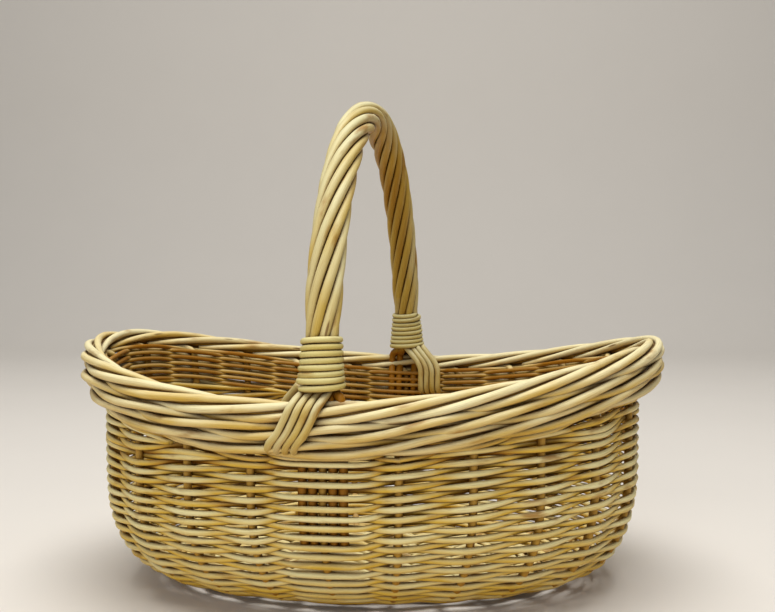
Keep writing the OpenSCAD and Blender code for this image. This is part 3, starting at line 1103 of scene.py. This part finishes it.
@dataclass
class Siding:
    """Rows of plain weaving between the upsett and the waling, with the packing at the ends."""

    wall: Wall
    step: float = 0.0042
    courses: int = 8
    upsett_way: float = 0.0054
    first_fits: int = 3
    closing: float = 0.2
    end_lap: float = 0.3
    lap_off: float = 0.0025
    homes: tuple[int, ...] = (6, 12, 8, 14)
    wander: float = 0.00025
    follow: float = 0.15
    tilt: float = 0.0095
    low_d: float = 0.0050
    top_d: float = 0.0043
    butt: float = 1.03
    tip: float = 0.94
    pinch: float = 0.2
    ease: float = 0.64
    low_flat: float = 0.2
    flat_rows: int = 18
    low_shade: float = 0.6
    top_shade: float = 0.35
    shade_spread: float = 0.25
    # Painted shade: a weaver is painted deeper where it lies inside the wall, less so in the low rows.
    inside_shade: float = 1.1
    low_inside_shade: float = 0.35
    inside_span: Span = (-0.002, 0.003)
    pack_slack: float = 0.3
    fewest: int = 3
    hairpin: float = 0.7
    hairpin_rows: float = 0.5
    tuck: float = 0.78
    tuck_rows: Span = (0.7, 0.1)
    tuck_in: float = 0.0015

    @cached_property
    def first_way(self) -> float:
        """Distance of the lowest row up the stakes, clear of the upsett."""
        s = self.wall.sizes
        return self.upsett_way + s.wale_d + (s.wale_d + s.low_weaver_d) / 2 + self.first_fits * s.fit

    @cached_property
    def pack_z(self) -> float:
        """Height of the lowest close row at the sides."""
        s = self.wall.sizes
        return s.side_h - self.wall.lean_h - s.weaver_d / 2 - (s.top_rows - 1) * s.row_step

    @cached_property
    def pack_pairs(self) -> int:
        """Most turned-back rods that an end may take."""
        return int((self.wall.sizes.end_rise + self.tilt) / (2 * self.wall.sizes.row_step))

    @cached_property
    def tips(self) -> tuple[int, int]:
        """Stakes at the right and the left end."""
        return self.wall.sizes.right_tip, self.wall.sizes.left_tip

    def side(self, j: int, row: int) -> float:
        """Which side of stake j a row passes: 1 outside, -1 inside."""
        return 1.0 if (j + row) % 2 == 0 else -1.0

    def thickness(self, k: int) -> float:
        """Diameter of the weaver in row k."""
        return self.low_d + (self.top_d - self.low_d) * min(1.0, k / (self.wall.sizes.low_rows - 1))

    def rise(self, j: int) -> float:
        """How far the rim at stake j stands above its lowest places."""
        return self.wall.rim_at(j) - self.wall.sizes.side_h

    def lift(self, j: int) -> float:
        """How far the rows under the packing are lifted at stake j, more to the right."""
        return self.follow * self.rise(j) + self.tilt * math.cos(float(self.wall.angle(j)))

    def raised(self, j: int, q: int) -> bool:
        """True if packing rod q reaches stake j."""
        return self.rise(j) - self.lift(j) >= (2 * q - self.pack_slack) * self.wall.sizes.row_step

    def held(self, tip: int) -> list[list[int]]:
        """Stakes that the packing rods of an end go round.

        Args:
            tip: Stake at that end.

        Returns:
            The stakes of each rod, the lowest rod first.
        """
        quarter = self.wall.sizes.stakes / 4
        reach = range(round(tip - quarter), round(tip + quarter) + 1)
        runs = [[j for j in reach if self.raised(j, q)] for q in range(1, self.pack_pairs + 1)]
        return [run for run in runs if len(run) >= self.fewest]

    def pack_base(self, j: int) -> float:
        """Height at stake j of the row under the packing."""
        return self.pack_z - self.wall.sizes.row_step + self.lift(j)

    def ceiling(self, place: float) -> float:
        """Height of a row just under the waling, at a place counted in stakes."""
        return self.wall.rim_at(place) - self.wall.lean_h - self.wall.sizes.weaver_d / 2

    def room(self, j: int) -> float:
        """Height that the close rows fill under the packing.

        Args:
            j: The stake.

        Returns:
            The height there.
        """
        s = self.wall.sizes
        pairs = sum((j - i) % s.stakes == 0 for tip in self.tips for run in self.held(tip) for i in run)
        return self.ceiling(j) - (self.pack_base(j) + 2 * pairs * s.row_step)

    def row_level(self, j: int, k: int) -> float:
        """Level of a row at a stake.

        Args:
            j: The stake.
            k: The row, counted from the lowest.

        Returns:
            The level.
        """
        s = self.wall.sizes
        if k < s.low_rows:
            f = k / (s.low_rows - 1)
            top = self.wall.way_up(j, float(self.wall.level(self.pack_base(j))))
            way = self.first_way + (top - self.first_way) * f * (1 + self.closing * (1 - f))
            return self.wall.level_up(j, way)
        share = self.room(j) * (k - s.low_rows + 1) / s.top_rows
        return float(self.wall.level(self.pack_base(j) + share))

    def row_stops(self, k: int, first: int, last: int) -> list[Stop]:
        """Stops of a row from one stake to another.

        Args:
            k: The row.
            first: Its first stake.
            last: Its last stake.

        Returns:
            The stops.
        """
        flat = self.ease * min(1.0, self.low_flat + (1 - self.low_flat) * k / self.flat_rows)
        stops = []
        for j in range(first, last + 1):
            level = self.row_level(j, k) + RNG.normal(0, self.wander) / self.wall.bilge_arc
            out = flat * self.side(j, k) * self.wall.clearance(j, self.thickness(k))
            stops += self.wall.stops(j, level, out)
        return stops

    def woven(self, run: list[Stop], d: float, tone: float, inside: float) -> Rod:
        """A weaver, fullest before and behind the stakes and squeezed where it crosses its neighbours.

        Args:
            run: Its stops.
            d: Its diameter.
            tone: Its mean shade.
            inside: How much painted shade deepens it where it lies inside the wall.

        Returns:
            The weaver.
        """
        way = self.wall.route(run, self.step)
        squeezed = 1 - self.pinch * np.sin(math.pi * way.place) ** 2
        # Painted shade where the weaver lies inside the wall.
        deeper = inside * np.interp(way.out, self.inside_span, (1, 0))
        width = taper(way.path, d * self.butt, d * self.tip) * squeezed
        return Rod(way.path, width, shade_near(tone, self.shade_spread) + deeper)

    def row(self, k: int) -> Rod:
        """One row, with its ends lapped behind a stake of the far side.

        Args:
            k: The row, counted from the lowest.

        Returns:
            Its rod.
        """
        n = self.wall.sizes.stakes
        home = self.homes[k % len(self.homes)] + (k + 1) % 2
        mid = self.row_stops(k, home + 1, home + n - 1)
        place, level, out = self.row_stops(k, home, home)[0]
        start = [(at, level, out) for at in (place - self.end_lap, place)]
        close = [(at, level, out - self.lap_off) for at in (place + n, place + n + self.end_lap)]
        # Painted shade inside the wall, stronger in the upper rows.
        shades = (self.low_inside_shade, self.inside_shade)
        inside = np.interp(k, (self.flat_rows, self.wall.sizes.low_rows), shades)
        tone = np.interp(k, (0, self.flat_rows), (self.low_shade, self.top_shade))
        return self.woven(start + mid + close, self.thickness(k), float(tone), float(inside))

    def wedge(self, place: float, rows: float) -> Stop:
        """A stop inside the wall, some rows under the waling."""
        z = self.ceiling(place) - rows * self.wall.sizes.row_step
        return place, float(self.wall.level(z)), -self.tuck_in

    def pack_level(self, j: int, rows: float) -> float:
        """Level of a packing row at stake j."""
        z = self.pack_base(j) + self.room(j) + rows * self.wall.sizes.row_step
        return float(self.wall.level(z))

    def packing(self, node: str, tip: int) -> Piece:
        """Turned-back rods that lift one end, drawn out to fill the wedges beside their last stakes.

        Args:
            node: The node that they stand for.
            tip: Stake at that end.

        Returns:
            The piece.
        """
        rods = []
        for q, held in enumerate(self.held(tip), 1):
            row = self.wall.sizes.low_rows + 2 * (q - 1)
            out = self.ease * self.wall.clearance(held[0], self.top_d)
            lower = [(j, self.pack_level(j, 2 * q - 1), out * self.side(j, row)) for j in held]
            upper = [(j, self.pack_level(j, 2 * q), out * self.side(j, row + 1)) for j in held[::-1]]
            turn = self.wedge(held[-1] + self.hairpin, self.hairpin_rows)
            first, last = (self.wedge(held[0] - self.tuck, rows) for rows in self.tuck_rows)
            run = [first, *lower, turn, *upper, last]
            rods.append(self.woven(run, self.top_d, self.top_shade, self.inside_shade))
        return Piece(node, SIDING, rods)

    def build(self) -> None:
        """Builds the rows, course by course, and the packing."""
        rows = self.wall.sizes.low_rows + self.wall.sizes.top_rows
        for c in range(self.courses):
            course = range(c * rows // self.courses, (c + 1) * rows // self.courses)
            Piece(f"siding_course_{c + 1}", SIDING, [self.row(k) for k in course]).build()
        for node, tip in zip(("packing_right", "packing_left"), self.tips):
            self.packing(node, tip).build()


@dataclass(frozen=True)
class Tier:
    """Place of a tier of rods under the border, with the fine rows behind it, counted upwards."""

    node: str
    depth: float
    out: float
    turns: int
    rows: range
    has_core: bool = False


@dataclass
class Waling:
    """The upsett at the base's edge and the two tiers of rods laid round under the border."""

    wall: Wall
    siding: Siding
    step: float = 0.004
    rod_d: float = 0.0052
    upsett_rods: int = 3
    upsett_flat: float = 0.25
    upsett_fits: int = 2
    upsett_tip: float = 0.9
    upsett_shade: float = 0.5
    tiers: tuple[Tier, ...] = (
        Tier("top_wale_lower", 0.0298, 0.0122, 5, range(0, 5)),
        Tier("top_wale_upper", 0.0198, 0.0152, 6, range(5, 11), True),
    )
    tier_rods: int = 3
    tier_r: float = 0.0035
    tier_points: int = 60
    tier_shade: Span = (0.4, 0.2)
    sway: float = 0.0006
    sway_waves: float = 5.3
    seam: float = 9.6
    backing_d: float = 0.0035
    backing_tip: float = 0.9
    backing_step: float = 0.0026
    backing_shade: float = 0.6
    inside_span: Span = (-0.002, 0.004)
    core_d: float = 0.0074
    core_points: int = 20
    # The core is painted deep, as painted shade in the hollow of the roll.
    core_shade: float = 1.4

    def upsett_stops(self, k: int) -> list[Stop]:
        """Stops of an upsett rod: before two stakes, rising, and behind the third.

        Args:
            k: The rod.

        Returns:
            The stops.
        """
        w, mid = self.wall, self.siding.upsett_way
        step = w.wale_step / 2 + self.upsett_fits * w.sizes.fit
        strokes = ((mid, -1.0), (mid - step, 1.0), (mid + step, 1.0))
        stops: list[Stop] = []
        for j in range(k, k + w.sizes.stakes + 1):
            way, side = strokes[(j - k) % len(strokes)]
            out = self.upsett_flat * w.clearance(j, self.rod_d)
            stops += w.stops(j, w.level_up(j, way), side * out)
        return stops

    def upsett(self, k: int) -> Rod:
        """One rod of the wale at the base's edge.

        Args:
            k: The rod.

        Returns:
            The rod.
        """
        path = self.wall.route(self.upsett_stops(k), self.step).path
        width = taper(path, self.rod_d, self.rod_d * self.upsett_tip)
        return Rod(path, width, shade_near(self.upsett_shade))

    def laid(self, t: Array, out: Array | float, depth: Array | float) -> Array:
        """A route laid round outside the wall.

        Args:
            t: Oval angles.
            out: Distance from the stakes at each.
            depth: Depth below the rim at each.

        Returns:
            Its points, evenly spaced.
        """
        points = self.wall.oval(t) + np.broadcast_to(out, t.shape)[:, None] * self.wall.outward(t)
        points[:, 2] = self.wall.rim(t) - depth
        return respaced(points, self.step)

    def tier(self, tier: Tier) -> Piece:
        """A tier of rods outside the wall.

        Args:
            tier: Its place.

        Returns:
            The piece, with the fine rows that show behind it.
        """
        n = self.wall.sizes.stakes
        rods = []
        place = np.linspace(0, n, self.tier_points * n) + self.seam
        t = self.wall.angle(place)
        for k in range(self.tier_rods):
            turn = FULL_TURN * (tier.turns * place / n + k / self.tier_rods)
            sway = self.sway * np.sin(2 * turn + k) + self.sway * np.sin(self.sway_waves * t + 2 * k)
            out = tier.out + self.tier_r * np.cos(turn) + sway
            path = self.laid(t, out, tier.depth - self.tier_r * np.sin(turn) - sway)
            rods.append(Rod(path, taper(path, self.rod_d, self.rod_d), shade_near(*self.tier_shade)))
        rods += [self.backing(row) for row in tier.rows]
        return Piece(tier.node, BORDER, rods + [self.core()] if tier.has_core else rods)

    def core(self) -> Rod:
        """The rod that the border is rolled round.

        Returns:
            The rod.
        """
        s = self.wall.sizes
        t = self.wall.angle(np.linspace(0, s.stakes, self.core_points * s.stakes))
        path = self.laid(t, s.roll_out, s.roll_h)
        return Rod(path, taper(path, self.core_d, self.core_d), self.core_shade, SQUARE_ENDS)

    def backing(self, row: int) -> Rod:
        """A fine row behind a tier.

        Args:
            row: The row, counted upwards.

        Returns:
            Its rod.
        """
        w = self.wall
        depth = w.lean_h - self.backing_step * row
        stops: list[Stop] = []
        for j in range(w.sizes.stakes + 1):
            uneven = RNG.normal(0, self.siding.wander)
            out = self.siding.side(j, row) * (w.sizes.stake_d + self.backing_d) / 2
            stops += w.stops(j, depth + uneven, out)
        way = w.route(stops, self.step, True)
        # Painted shade where the fine row lies inside the wall.
        inside = self.siding.inside_shade * np.interp(way.out, self.inside_span, (1, 0))
        width = taper(way.path, self.backing_d, self.backing_d * self.backing_tip)
        return Rod(way.path, width, shade_near(self.backing_shade) + inside)

    def build(self) -> None:
        """Builds the upsett and the tiers under the border."""
        Piece("upsett_wale", SIDING, [self.upsett(k) for k in range(self.upsett_rods)]).build()
        for tier in self.tiers:
            self.tier(tier).build()


@dataclass
class Stakes:
    """Stakes, whose tops are laid down as the rolled border."""

    wall: Wall
    step: float = 0.004
    wall_points: int = 16
    lean_points: int = 5
    roll_turn: float = math.radians(75)
    first_laid: float = 0.16
    laid_spaces: float = 4.95
    laid_step: float = 0.12
    butt: float = 1.06
    top: float = 0.97
    tip: float = 0.8
    # The uprights are painted deep, as painted shade between the rows; the laid tops keep their own
    # tone.
    foot_shade: float = 1.55
    laid_shade: Span = (0.4, 0.2)
    shade_span: Span = (-0.012, 0.02)

    def rolled(self, place: Array, turn: Array) -> Array:
        """Points of the rolled border.

        Args:
            place: Places counted in stakes.
            turn: Angle round the roll at each.

        Returns:
            The points.
        """
        s = self.wall.sizes
        t = self.wall.angle(place)
        out = s.roll_out + s.roll_r * np.cos(turn)
        points = self.wall.oval(t) + out[:, None] * self.wall.outward(t)
        points[:, 2] = self.wall.rim(t) - s.roll_r - s.border_d / 2 + s.roll_r * np.sin(turn)
        return points

    def upright(self, j: int) -> Array:
        """Points of a stake up to the border.

        Args:
            j: The stake.

        Returns:
            The points.
        """
        w, top = self.wall, self.wall.rim_at(j)
        lean = float(w.level(top - w.lean_h))
        entry = float(w.level(top - w.entry_h - w.sizes.stake_d))
        leaning = np.linspace(lean, entry, self.lean_points)[1:]
        levels = np.concatenate([np.linspace(0, lean, self.wall_points), leaning])
        return w.surface(np.full_like(levels, float(w.angle(j))), levels)

    def stake(self, j: int) -> Rod:
        """One stake with its laid top.

        Args:
            j: The stake.

        Returns:
            Its rod.
        """
        d = self.wall.sizes.stake_d
        up = self.upright(j)
        spaces = np.arange(self.first_laid, self.laid_spaces, self.laid_step)
        laid = self.rolled(j + spaces, self.wall.entry_turn + self.roll_turn * spaces)
        path = rounded(np.vstack([up, laid]), self.step)
        gone, bend = chord_keys(path), chord_keys(up)[-1]
        # Painted shade on the upright, fading into the laid top's own tone.
        shades = (self.foot_shade, shade_near(*self.laid_shade))
        shade = np.interp(gone, [bend + end for end in self.shade_span], shades)
        thin = np.interp(gone[-1] - gone, (0, self.wall.space), (self.tip, 1))
        return Rod(path, taper(path, d * self.butt, d * self.top) * thin, shade)

    def build(self) -> None:
        """Builds the four groups of stakes."""
        right, left = self.wall.sizes.right_tip, self.wall.sizes.left_tip
        groups = {"stakes_front": (2 - right, right - 3), "stakes_right": (right - 2, right + 2),
                  "stakes_back": (right + 3, left - 3), "stakes_left": (left - 2, left + 2)}
        for node, (first, last) in groups.items():
            Piece(node, STAKE, [self.stake(j) for j in range(first, last + 1)]).build()


@dataclass
class Handle:
    """Bow, the rods roped over it and the lashings at its feet."""

    wall: Wall
    step: float = 0.0035
    foot_in: float = 0.005
    bow_end: float = math.radians(2.5)
    bow_points: int = 80
    bow_sides: int = 14
    bow_shade: float = 0.4
    rope_rings: int = 21
    rope_points: int = 60
    rope_sides: int = 12
    rope_shade: float = 0.6
    rope_draw: float = 0.0008
    rope_start_h: float = 0.0068
    first_turn: float = math.radians(-157.5)
    spread: float = math.radians(45)
    # Painted shade on the faces of the roped rods turned into the arch.
    inner_shade: float = 0.7
    foot_squeeze: float = 0.0020
    squeeze_span: Span = (0.028, 0.062)
    liner_points: int = 7
    liner_top: float = 0.019
    liner_outs: tuple[float, ...] = (0.0085, 0.0100)
    liner_hs: tuple[float, ...] = (0.0095, 0.0010)
    # The liners are painted deep, as painted shade where they stand inside the wall.
    liner_shade: float = 2.0
    liner_fade: float = 0.016
    tie_d: float = 0.0049
    tie_span: Span = (-0.01, 0.025)
    tie_shift: float = 0.74
    # A tie's stops, each led by its share of the shift along the wall.
    # Over the border they give the angle round it, in degrees, and then the distance out and the depth.
    # Inside the wall the distance is out from the tie's own place there.
    tie_over: tuple[Span, ...] = ((0.16, 85), (0.3, 30), (0.52, -30))
    tie_under: tuple[Stop, ...] = (
        (0.65, 0.0228, 0.020), (0.84, 0.0212, 0.0250), (0.97, 0.0168, 0.0300), (1.0, 0.004, 0.0322))
    tie_inside: tuple[Stop, ...] = (
        (1.0, 0.0, 0.0268), (1.0, 0.0, 0.0190), (1.0, 0.0, 0.0120), (0.9, 0.001, 0.0060),
        (0.62, 0.003, -0.0015))
    tie_end: Stop = (0.34, -0.004, -0.008)
    lash_r: float = 0.0108
    lash_flare: float = 0.0026
    lash_drop: float = 0.0028
    lash_points: int = 40
    lash_step: float = 0.0028
    lash_wander: float = 0.00025
    lash_tuck: float = 0.0035
    lash_tuck_turn: float = 0.14
    lash_butt: float = 1.12
    lash_tip: float = 1.04
    lash_shade: float = 0.3
    lash_knuckle: float = 0.02

    @cached_property
    def foot(self) -> Array:
        """Where the bow would meet the border's level at the front."""
        t = self.wall.angle(self.wall.front_foot)
        return self.wall.oval(t) + self.foot_in * self.wall.outward(t)

    @cached_property
    def rope_r(self) -> float:
        """Radius of the ring of rods round the bow."""
        s = self.wall.sizes
        return ((s.bow_d + s.rope_d) / 2 + s.fit) / math.cos(math.pi * s.rope_turns / self.rope_rings)

    @cached_property
    def arch_z(self) -> float:
        """Height of the arch's feet."""
        return self.wall.sizes.side_h + self.wall.sizes.fit

    @cached_property
    def arch_b(self) -> float:
        """Rise of the arch."""
        return self.wall.sizes.handle_h - self.arch_z - self.rope_r - self.wall.sizes.rope_d / 2

    def round_bow(self, u: Array, r: Array, turn: Array) -> Array:
        """Points round the bow.

        Args:
            u: Angle along the arch, from the front foot.
            r: Distance from the bow's middle.
            turn: Angle round the bow.

        Returns:
            The points.
        """
        a = float(np.linalg.norm(self.foot))
        lead, rise = self.foot / a, np.array(UPWARD)
        side = np.array([-lead[1], lead[0], 0.0])
        u, r, turn = u[:, None], r[:, None], turn[:, None]
        middle = lead * a * np.cos(u) + rise * (self.arch_z + self.arch_b * np.sin(u))
        out = unit(lead * self.arch_b * np.cos(u) + rise * a * np.sin(u))
        return middle + r * (np.cos(turn) * side + np.sin(turn) * out)

    def bow(self) -> Rod:
        """The bow inside the handle.

        Returns:
            Its rod.
        """
        d = self.wall.sizes.bow_d
        u = np.linspace(self.bow_end, math.pi - self.bow_end, self.bow_points)
        path = respaced(self.round_bow(u, 0 * u, 0 * u), self.step)
        return Rod(path, taper(path, d, d), self.bow_shade, SQUARE_ENDS, self.bow_sides, knuckle=0.0)

    def foot_angle(self, along: float) -> Array:
        """Oval angle at a distance along the wall from the front foot."""
        return self.wall.angle_at(np.array(self.wall.arc(self.wall.front_foot) + along))

    def foot_point(self, along: float, out: float, h: float) -> Array:
        """A point beside the front foot.

        Args:
            along: Distance along the wall.
            out: Distance out from the stakes.
            h: Depth below the rim.

        Returns:
            The point.
        """
        t = self.foot_angle(along)
        point = self.wall.oval(t) + out * self.wall.outward(t)
        point[2] = float(self.wall.rim(t)) - h
        return point

    def tie(self, m: int) -> Array:
        """Points of a rod's tie: over the far border, down outside, under and up again inside.

        Args:
            m: The rod.

        Returns:
            The points.
        """
        w, s = self.wall, self.wall.sizes
        round_r = s.roll_r + (s.border_d + self.tie_d) / 2
        stops = []
        for share, degrees in self.tie_over:
            angle = math.radians(degrees)
            out, h = s.roll_out + round_r * math.cos(angle), s.roll_h - round_r * math.sin(angle)
            stops.append((share, out, h))
        inside = -(w.clearance(w.front_foot, s.wale_d) + (s.wale_d + self.tie_d) / 2)
        within = [(share, inside + out, h) for share, out, h in self.tie_inside]
        stops += [*self.tie_under, *within, self.tie_end]
        shift = self.tie_shift * (w.group_half + w.space - s.stake_d / 2) / 2
        place = (self.tie_d + s.fit) * (m - (s.rope_rods - 1) / 2)
        points = np.array([self.foot_point(place - shift * share, out, h) for share, out, h in stops])
        return Foot.BACK.turned(points)

    def liner(self, m: int) -> Array:
        """Points of a rod's liner: up the wall and out through the border.

        Args:
            m: The rod.

        Returns:
            The points.
        """
        w, s = self.wall, self.wall.sizes
        half = s.rope_rods / 2
        t = self.foot_angle(((m if m < half else m + 1) - half) * (s.rope_d + s.fit))
        top = float(w.rim(t))
        heights = np.linspace(s.side_h - s.liner_depth, top - self.liner_top, self.liner_points)
        through = w.oval(t) + np.array(self.liner_outs)[:, None] * w.outward(t)
        through[:, 2] = top - np.array(self.liner_hs)
        return np.vstack([w.upright(np.full_like(heights, float(t)), w.level(heights)), through])

    def rope(self, m: int, foot: Foot) -> Rod:
        """A rod from one foot: its liner in the wall, its turns over the bow and its tie.

        Args:
            m: The rod.
            foot: The foot where it starts.

        Returns:
            The rod.
        """
        s, liner = self.wall.sizes, self.liner(m)
        start = math.asin(self.rope_start_h / self.arch_b)
        u = np.linspace(start, math.pi - start, self.rope_points)
        wind = FULL_TURN * s.rope_turns * np.linspace(0, 1, self.rope_points)
        turn = self.first_turn + self.spread * m - wind
        squeeze = self.foot_squeeze * np.interp(self.arch_b * np.sin(u), self.squeeze_span, (1, 0))
        wound = self.round_bow(u, self.rope_r - self.rope_draw - squeeze, turn)
        path = rounded(np.vstack([liner, wound, self.tie(m)]), self.step)
        gone, up, over = chord_keys(path), chord_keys(liner)[-1], chord_keys(wound)[-1]
        width = np.interp(gone, [up + over + end for end in self.tie_span], (s.rope_d, self.tie_d))
        # Painted shade on the liner, fading into the rope's own tone past the border.
        shades = (self.liner_shade, shade_near(self.rope_shade))
        shade = np.interp(gone, (up, up + self.liner_fade), shades)
        # Painted shade on the faces turned into the arch, under the bow.
        facing_in = np.interp(gone - up, np.linspace(0, over, len(turn)), np.sin(turn), 0, 0)
        shade = shade + self.inner_shade * np.clip(-facing_in, 0, 1)
        return Rod(foot.turned(path), width, shade, sides=self.rope_sides)

    def lashing(self, foot: Foot) -> Rod:
        """The rod wound round one foot of the handle, wider below and tucked in at both ends.

        Args:
            foot: The foot.

        Returns:
            The rod.
        """
        s = self.wall.sizes
        n = s.lash_turns
        start = self.rope_start_h + s.lash_d / 2 + s.fit - self.lash_drop
        turns = np.linspace(0, n, n * self.lash_points)
        uneven = np.interp(turns, np.arange(n + 1), RNG.normal(0, self.lash_wander, n + 1))
        rise = start + (s.lash_d + s.lash_gap) * turns + uneven
        wide = self.lash_r + self.lash_flare * (1 - turns / n) + uneven
        ends = np.minimum(turns, n - turns)
        r = wide - self.lash_tuck * np.clip(1 - ends / self.lash_tuck_turn, 0, 1) ** 2
        path = self.round_bow(np.arcsin(rise / self.arch_b), r, math.pi - FULL_TURN * turns)
        path = respaced(foot.turned(path), self.lash_step)
        width = taper(path, s.lash_d * self.lash_butt, s.lash_d * self.lash_tip)
        return Rod(path, width, shade_near(self.lash_shade), knuckle=self.lash_knuckle)

    def build(self) -> None:
        """Builds the handle."""
        Piece("handle_bow", STICK, [self.bow()]).build()
        for foot in Foot:
            name = foot.name.lower()
            for m in range(self.wall.sizes.rope_rods):
                Piece(f"handle_rod_{name}_{m + 1}", ROPE, [self.rope(m, foot)]).build()
            Piece(f"lashing_{name}", BINDING, [self.lashing(foot)]).build()


# Stage


@dataclass(frozen=True)
class Lamp:
    """A soft square lamp."""

    name: str
    place: Stop
    aim: Stop
    size: float
    power: float
    colour: Colour

    def build(self) -> None:
        """Hangs the lamp."""
        data = bpy.data.lights.new(self.name, "AREA")
        data.size, data.energy, data.color = self.size, self.power, self.colour
        lamp = bpy.data.objects.new(self.name, data)
        lamp.location = self.place
        aim = Vector(self.aim) - Vector(self.place)
        lamp.rotation_euler = aim.to_track_quat("-Z", "Y").to_euler()
        bpy.context.scene.collection.objects.link(lamp)


@dataclass(frozen=True)
class Studio:
    """Pale floor swept up into a backdrop, soft light and the camera."""

    floor_colour: Colour = (0.79, 0.76, 0.72)
    floor_mottle: float = 0.97
    floor_scale: Stop = (6.0, 6.0, 6.0)
    floor_roughness: float = 0.9
    floor_shine: float = 0.1
    half_width: float = 4.0
    front: float = -3.0
    back: float = 1.7
    sweep_r: float = 0.8
    sweep_steps: int = 16
    top: float = 3.0
    focal_px: float = 960.0
    image_px: float = 775.0
    sensor_mm: float = 36.0
    eye: Stop = (0.038, -0.719, 0.237)
    pitch: float = math.radians(2.68)
    yaw: float = math.radians(-2.1)
    sky: float = 0.14
    sky_colour: Colour = (1.0, 0.99, 0.98)
    lamps: tuple[Lamp, ...] = (
        Lamp("overhead", (0.0, -0.35, 2.6), (0.0, 0.0, 0.1), 1.9, 68.0, (1.0, 0.97, 0.92)),
        Lamp("fill", (-0.45, -1.9, 0.95), (0.0, 0.0, 0.12), 1.0, 11.5, (1.0, 0.99, 0.97)),
    )

    def paper(self) -> bpy.types.Material:
        """Finish of the floor.

        Returns:
            The material.
        """
        w = ShaderTree("floor_paper")
        place = w.add("ShaderNodeTexCoord").outputs["Object"]
        darker = tuple(self.floor_mottle * c for c in self.floor_colour)
        tint = w.mix(w.noise(place, self.floor_scale), self.floor_colour, darker)
        return w.finished({"Base Color": tint, "Roughness": self.floor_roughness,
                           "Specular IOR Level": self.floor_shine})

    def floor(self) -> None:
        """Makes the floor and backdrop."""
        profile = [(self.front, 0.0), (self.back, 0.0)]
        for i in range(1, self.sweep_steps + 1):
            turn = QUARTER * i / self.sweep_steps
            y, z = self.back + self.sweep_r * math.sin(turn), self.sweep_r * (1 - math.cos(turn))
            profile.append((y, z))
        profile.append((self.back + self.sweep_r, self.top))
        points = [(x, y, z) for y, z in profile for x in (-self.half_width, self.half_width)]
        faces = [(2 * i, 2 * i + 1, 2 * i + 3, 2 * i + 2) for i in range(len(profile) - 1)]
        mesh = bpy.data.meshes.new("floor")
        mesh.from_pydata(points, [], faces)
        mesh.polygons.foreach_set("use_smooth", [True] * len(faces))
        mesh.materials.append(self.paper())
        floor = bpy.data.objects.new("floor", mesh)
        bpy.context.scene.collection.objects.link(floor)

    def light(self) -> None:
        """Lights the stage from above, with a weak fill from the front."""
        for lamp in self.lamps:
            lamp.build()
        world = bpy.data.worlds.new("studio")
        world.use_nodes = True
        background = world.node_tree.nodes["Background"]
        background.inputs["Strength"].default_value = self.sky
        background.inputs["Color"].default_value = (*self.sky_colour, 1.0)
        bpy.context.scene.world = world

    def camera(self) -> None:
        """Places the camera."""
        data = bpy.data.cameras.new("camera")
        data.sensor_width = self.sensor_mm
        data.lens = self.sensor_mm * self.focal_px / self.image_px
        camera = bpy.data.objects.new("camera", data)
        camera.location = self.eye
        ahead = math.cos(self.pitch)
        aim = Vector((math.sin(self.yaw) * ahead, math.cos(self.yaw) * ahead, -math.sin(self.pitch)))
        camera.rotation_euler = aim.to_track_quat("-Z", "Y").to_euler()
        bpy.context.scene.collection.objects.link(camera)
        bpy.context.scene.camera = camera

    def build(self) -> None:
        """Builds the stage."""
        self.floor()
        self.light()
        self.camera()
        bpy.context.scene.view_settings.view_transform = "Standard"


def main() -> None:
    """Builds the basket and its stage."""
    logging.basicConfig(level=logging.INFO, format="%(name)s: %(message)s")
    wall = Wall(Sizes())
    siding = Siding(wall)
    for part in (Studio(), Base(wall), siding, Waling(wall, siding), Stakes(wall), Handle(wall)):
        part.build()


if __name__ == "__main__":
    main()
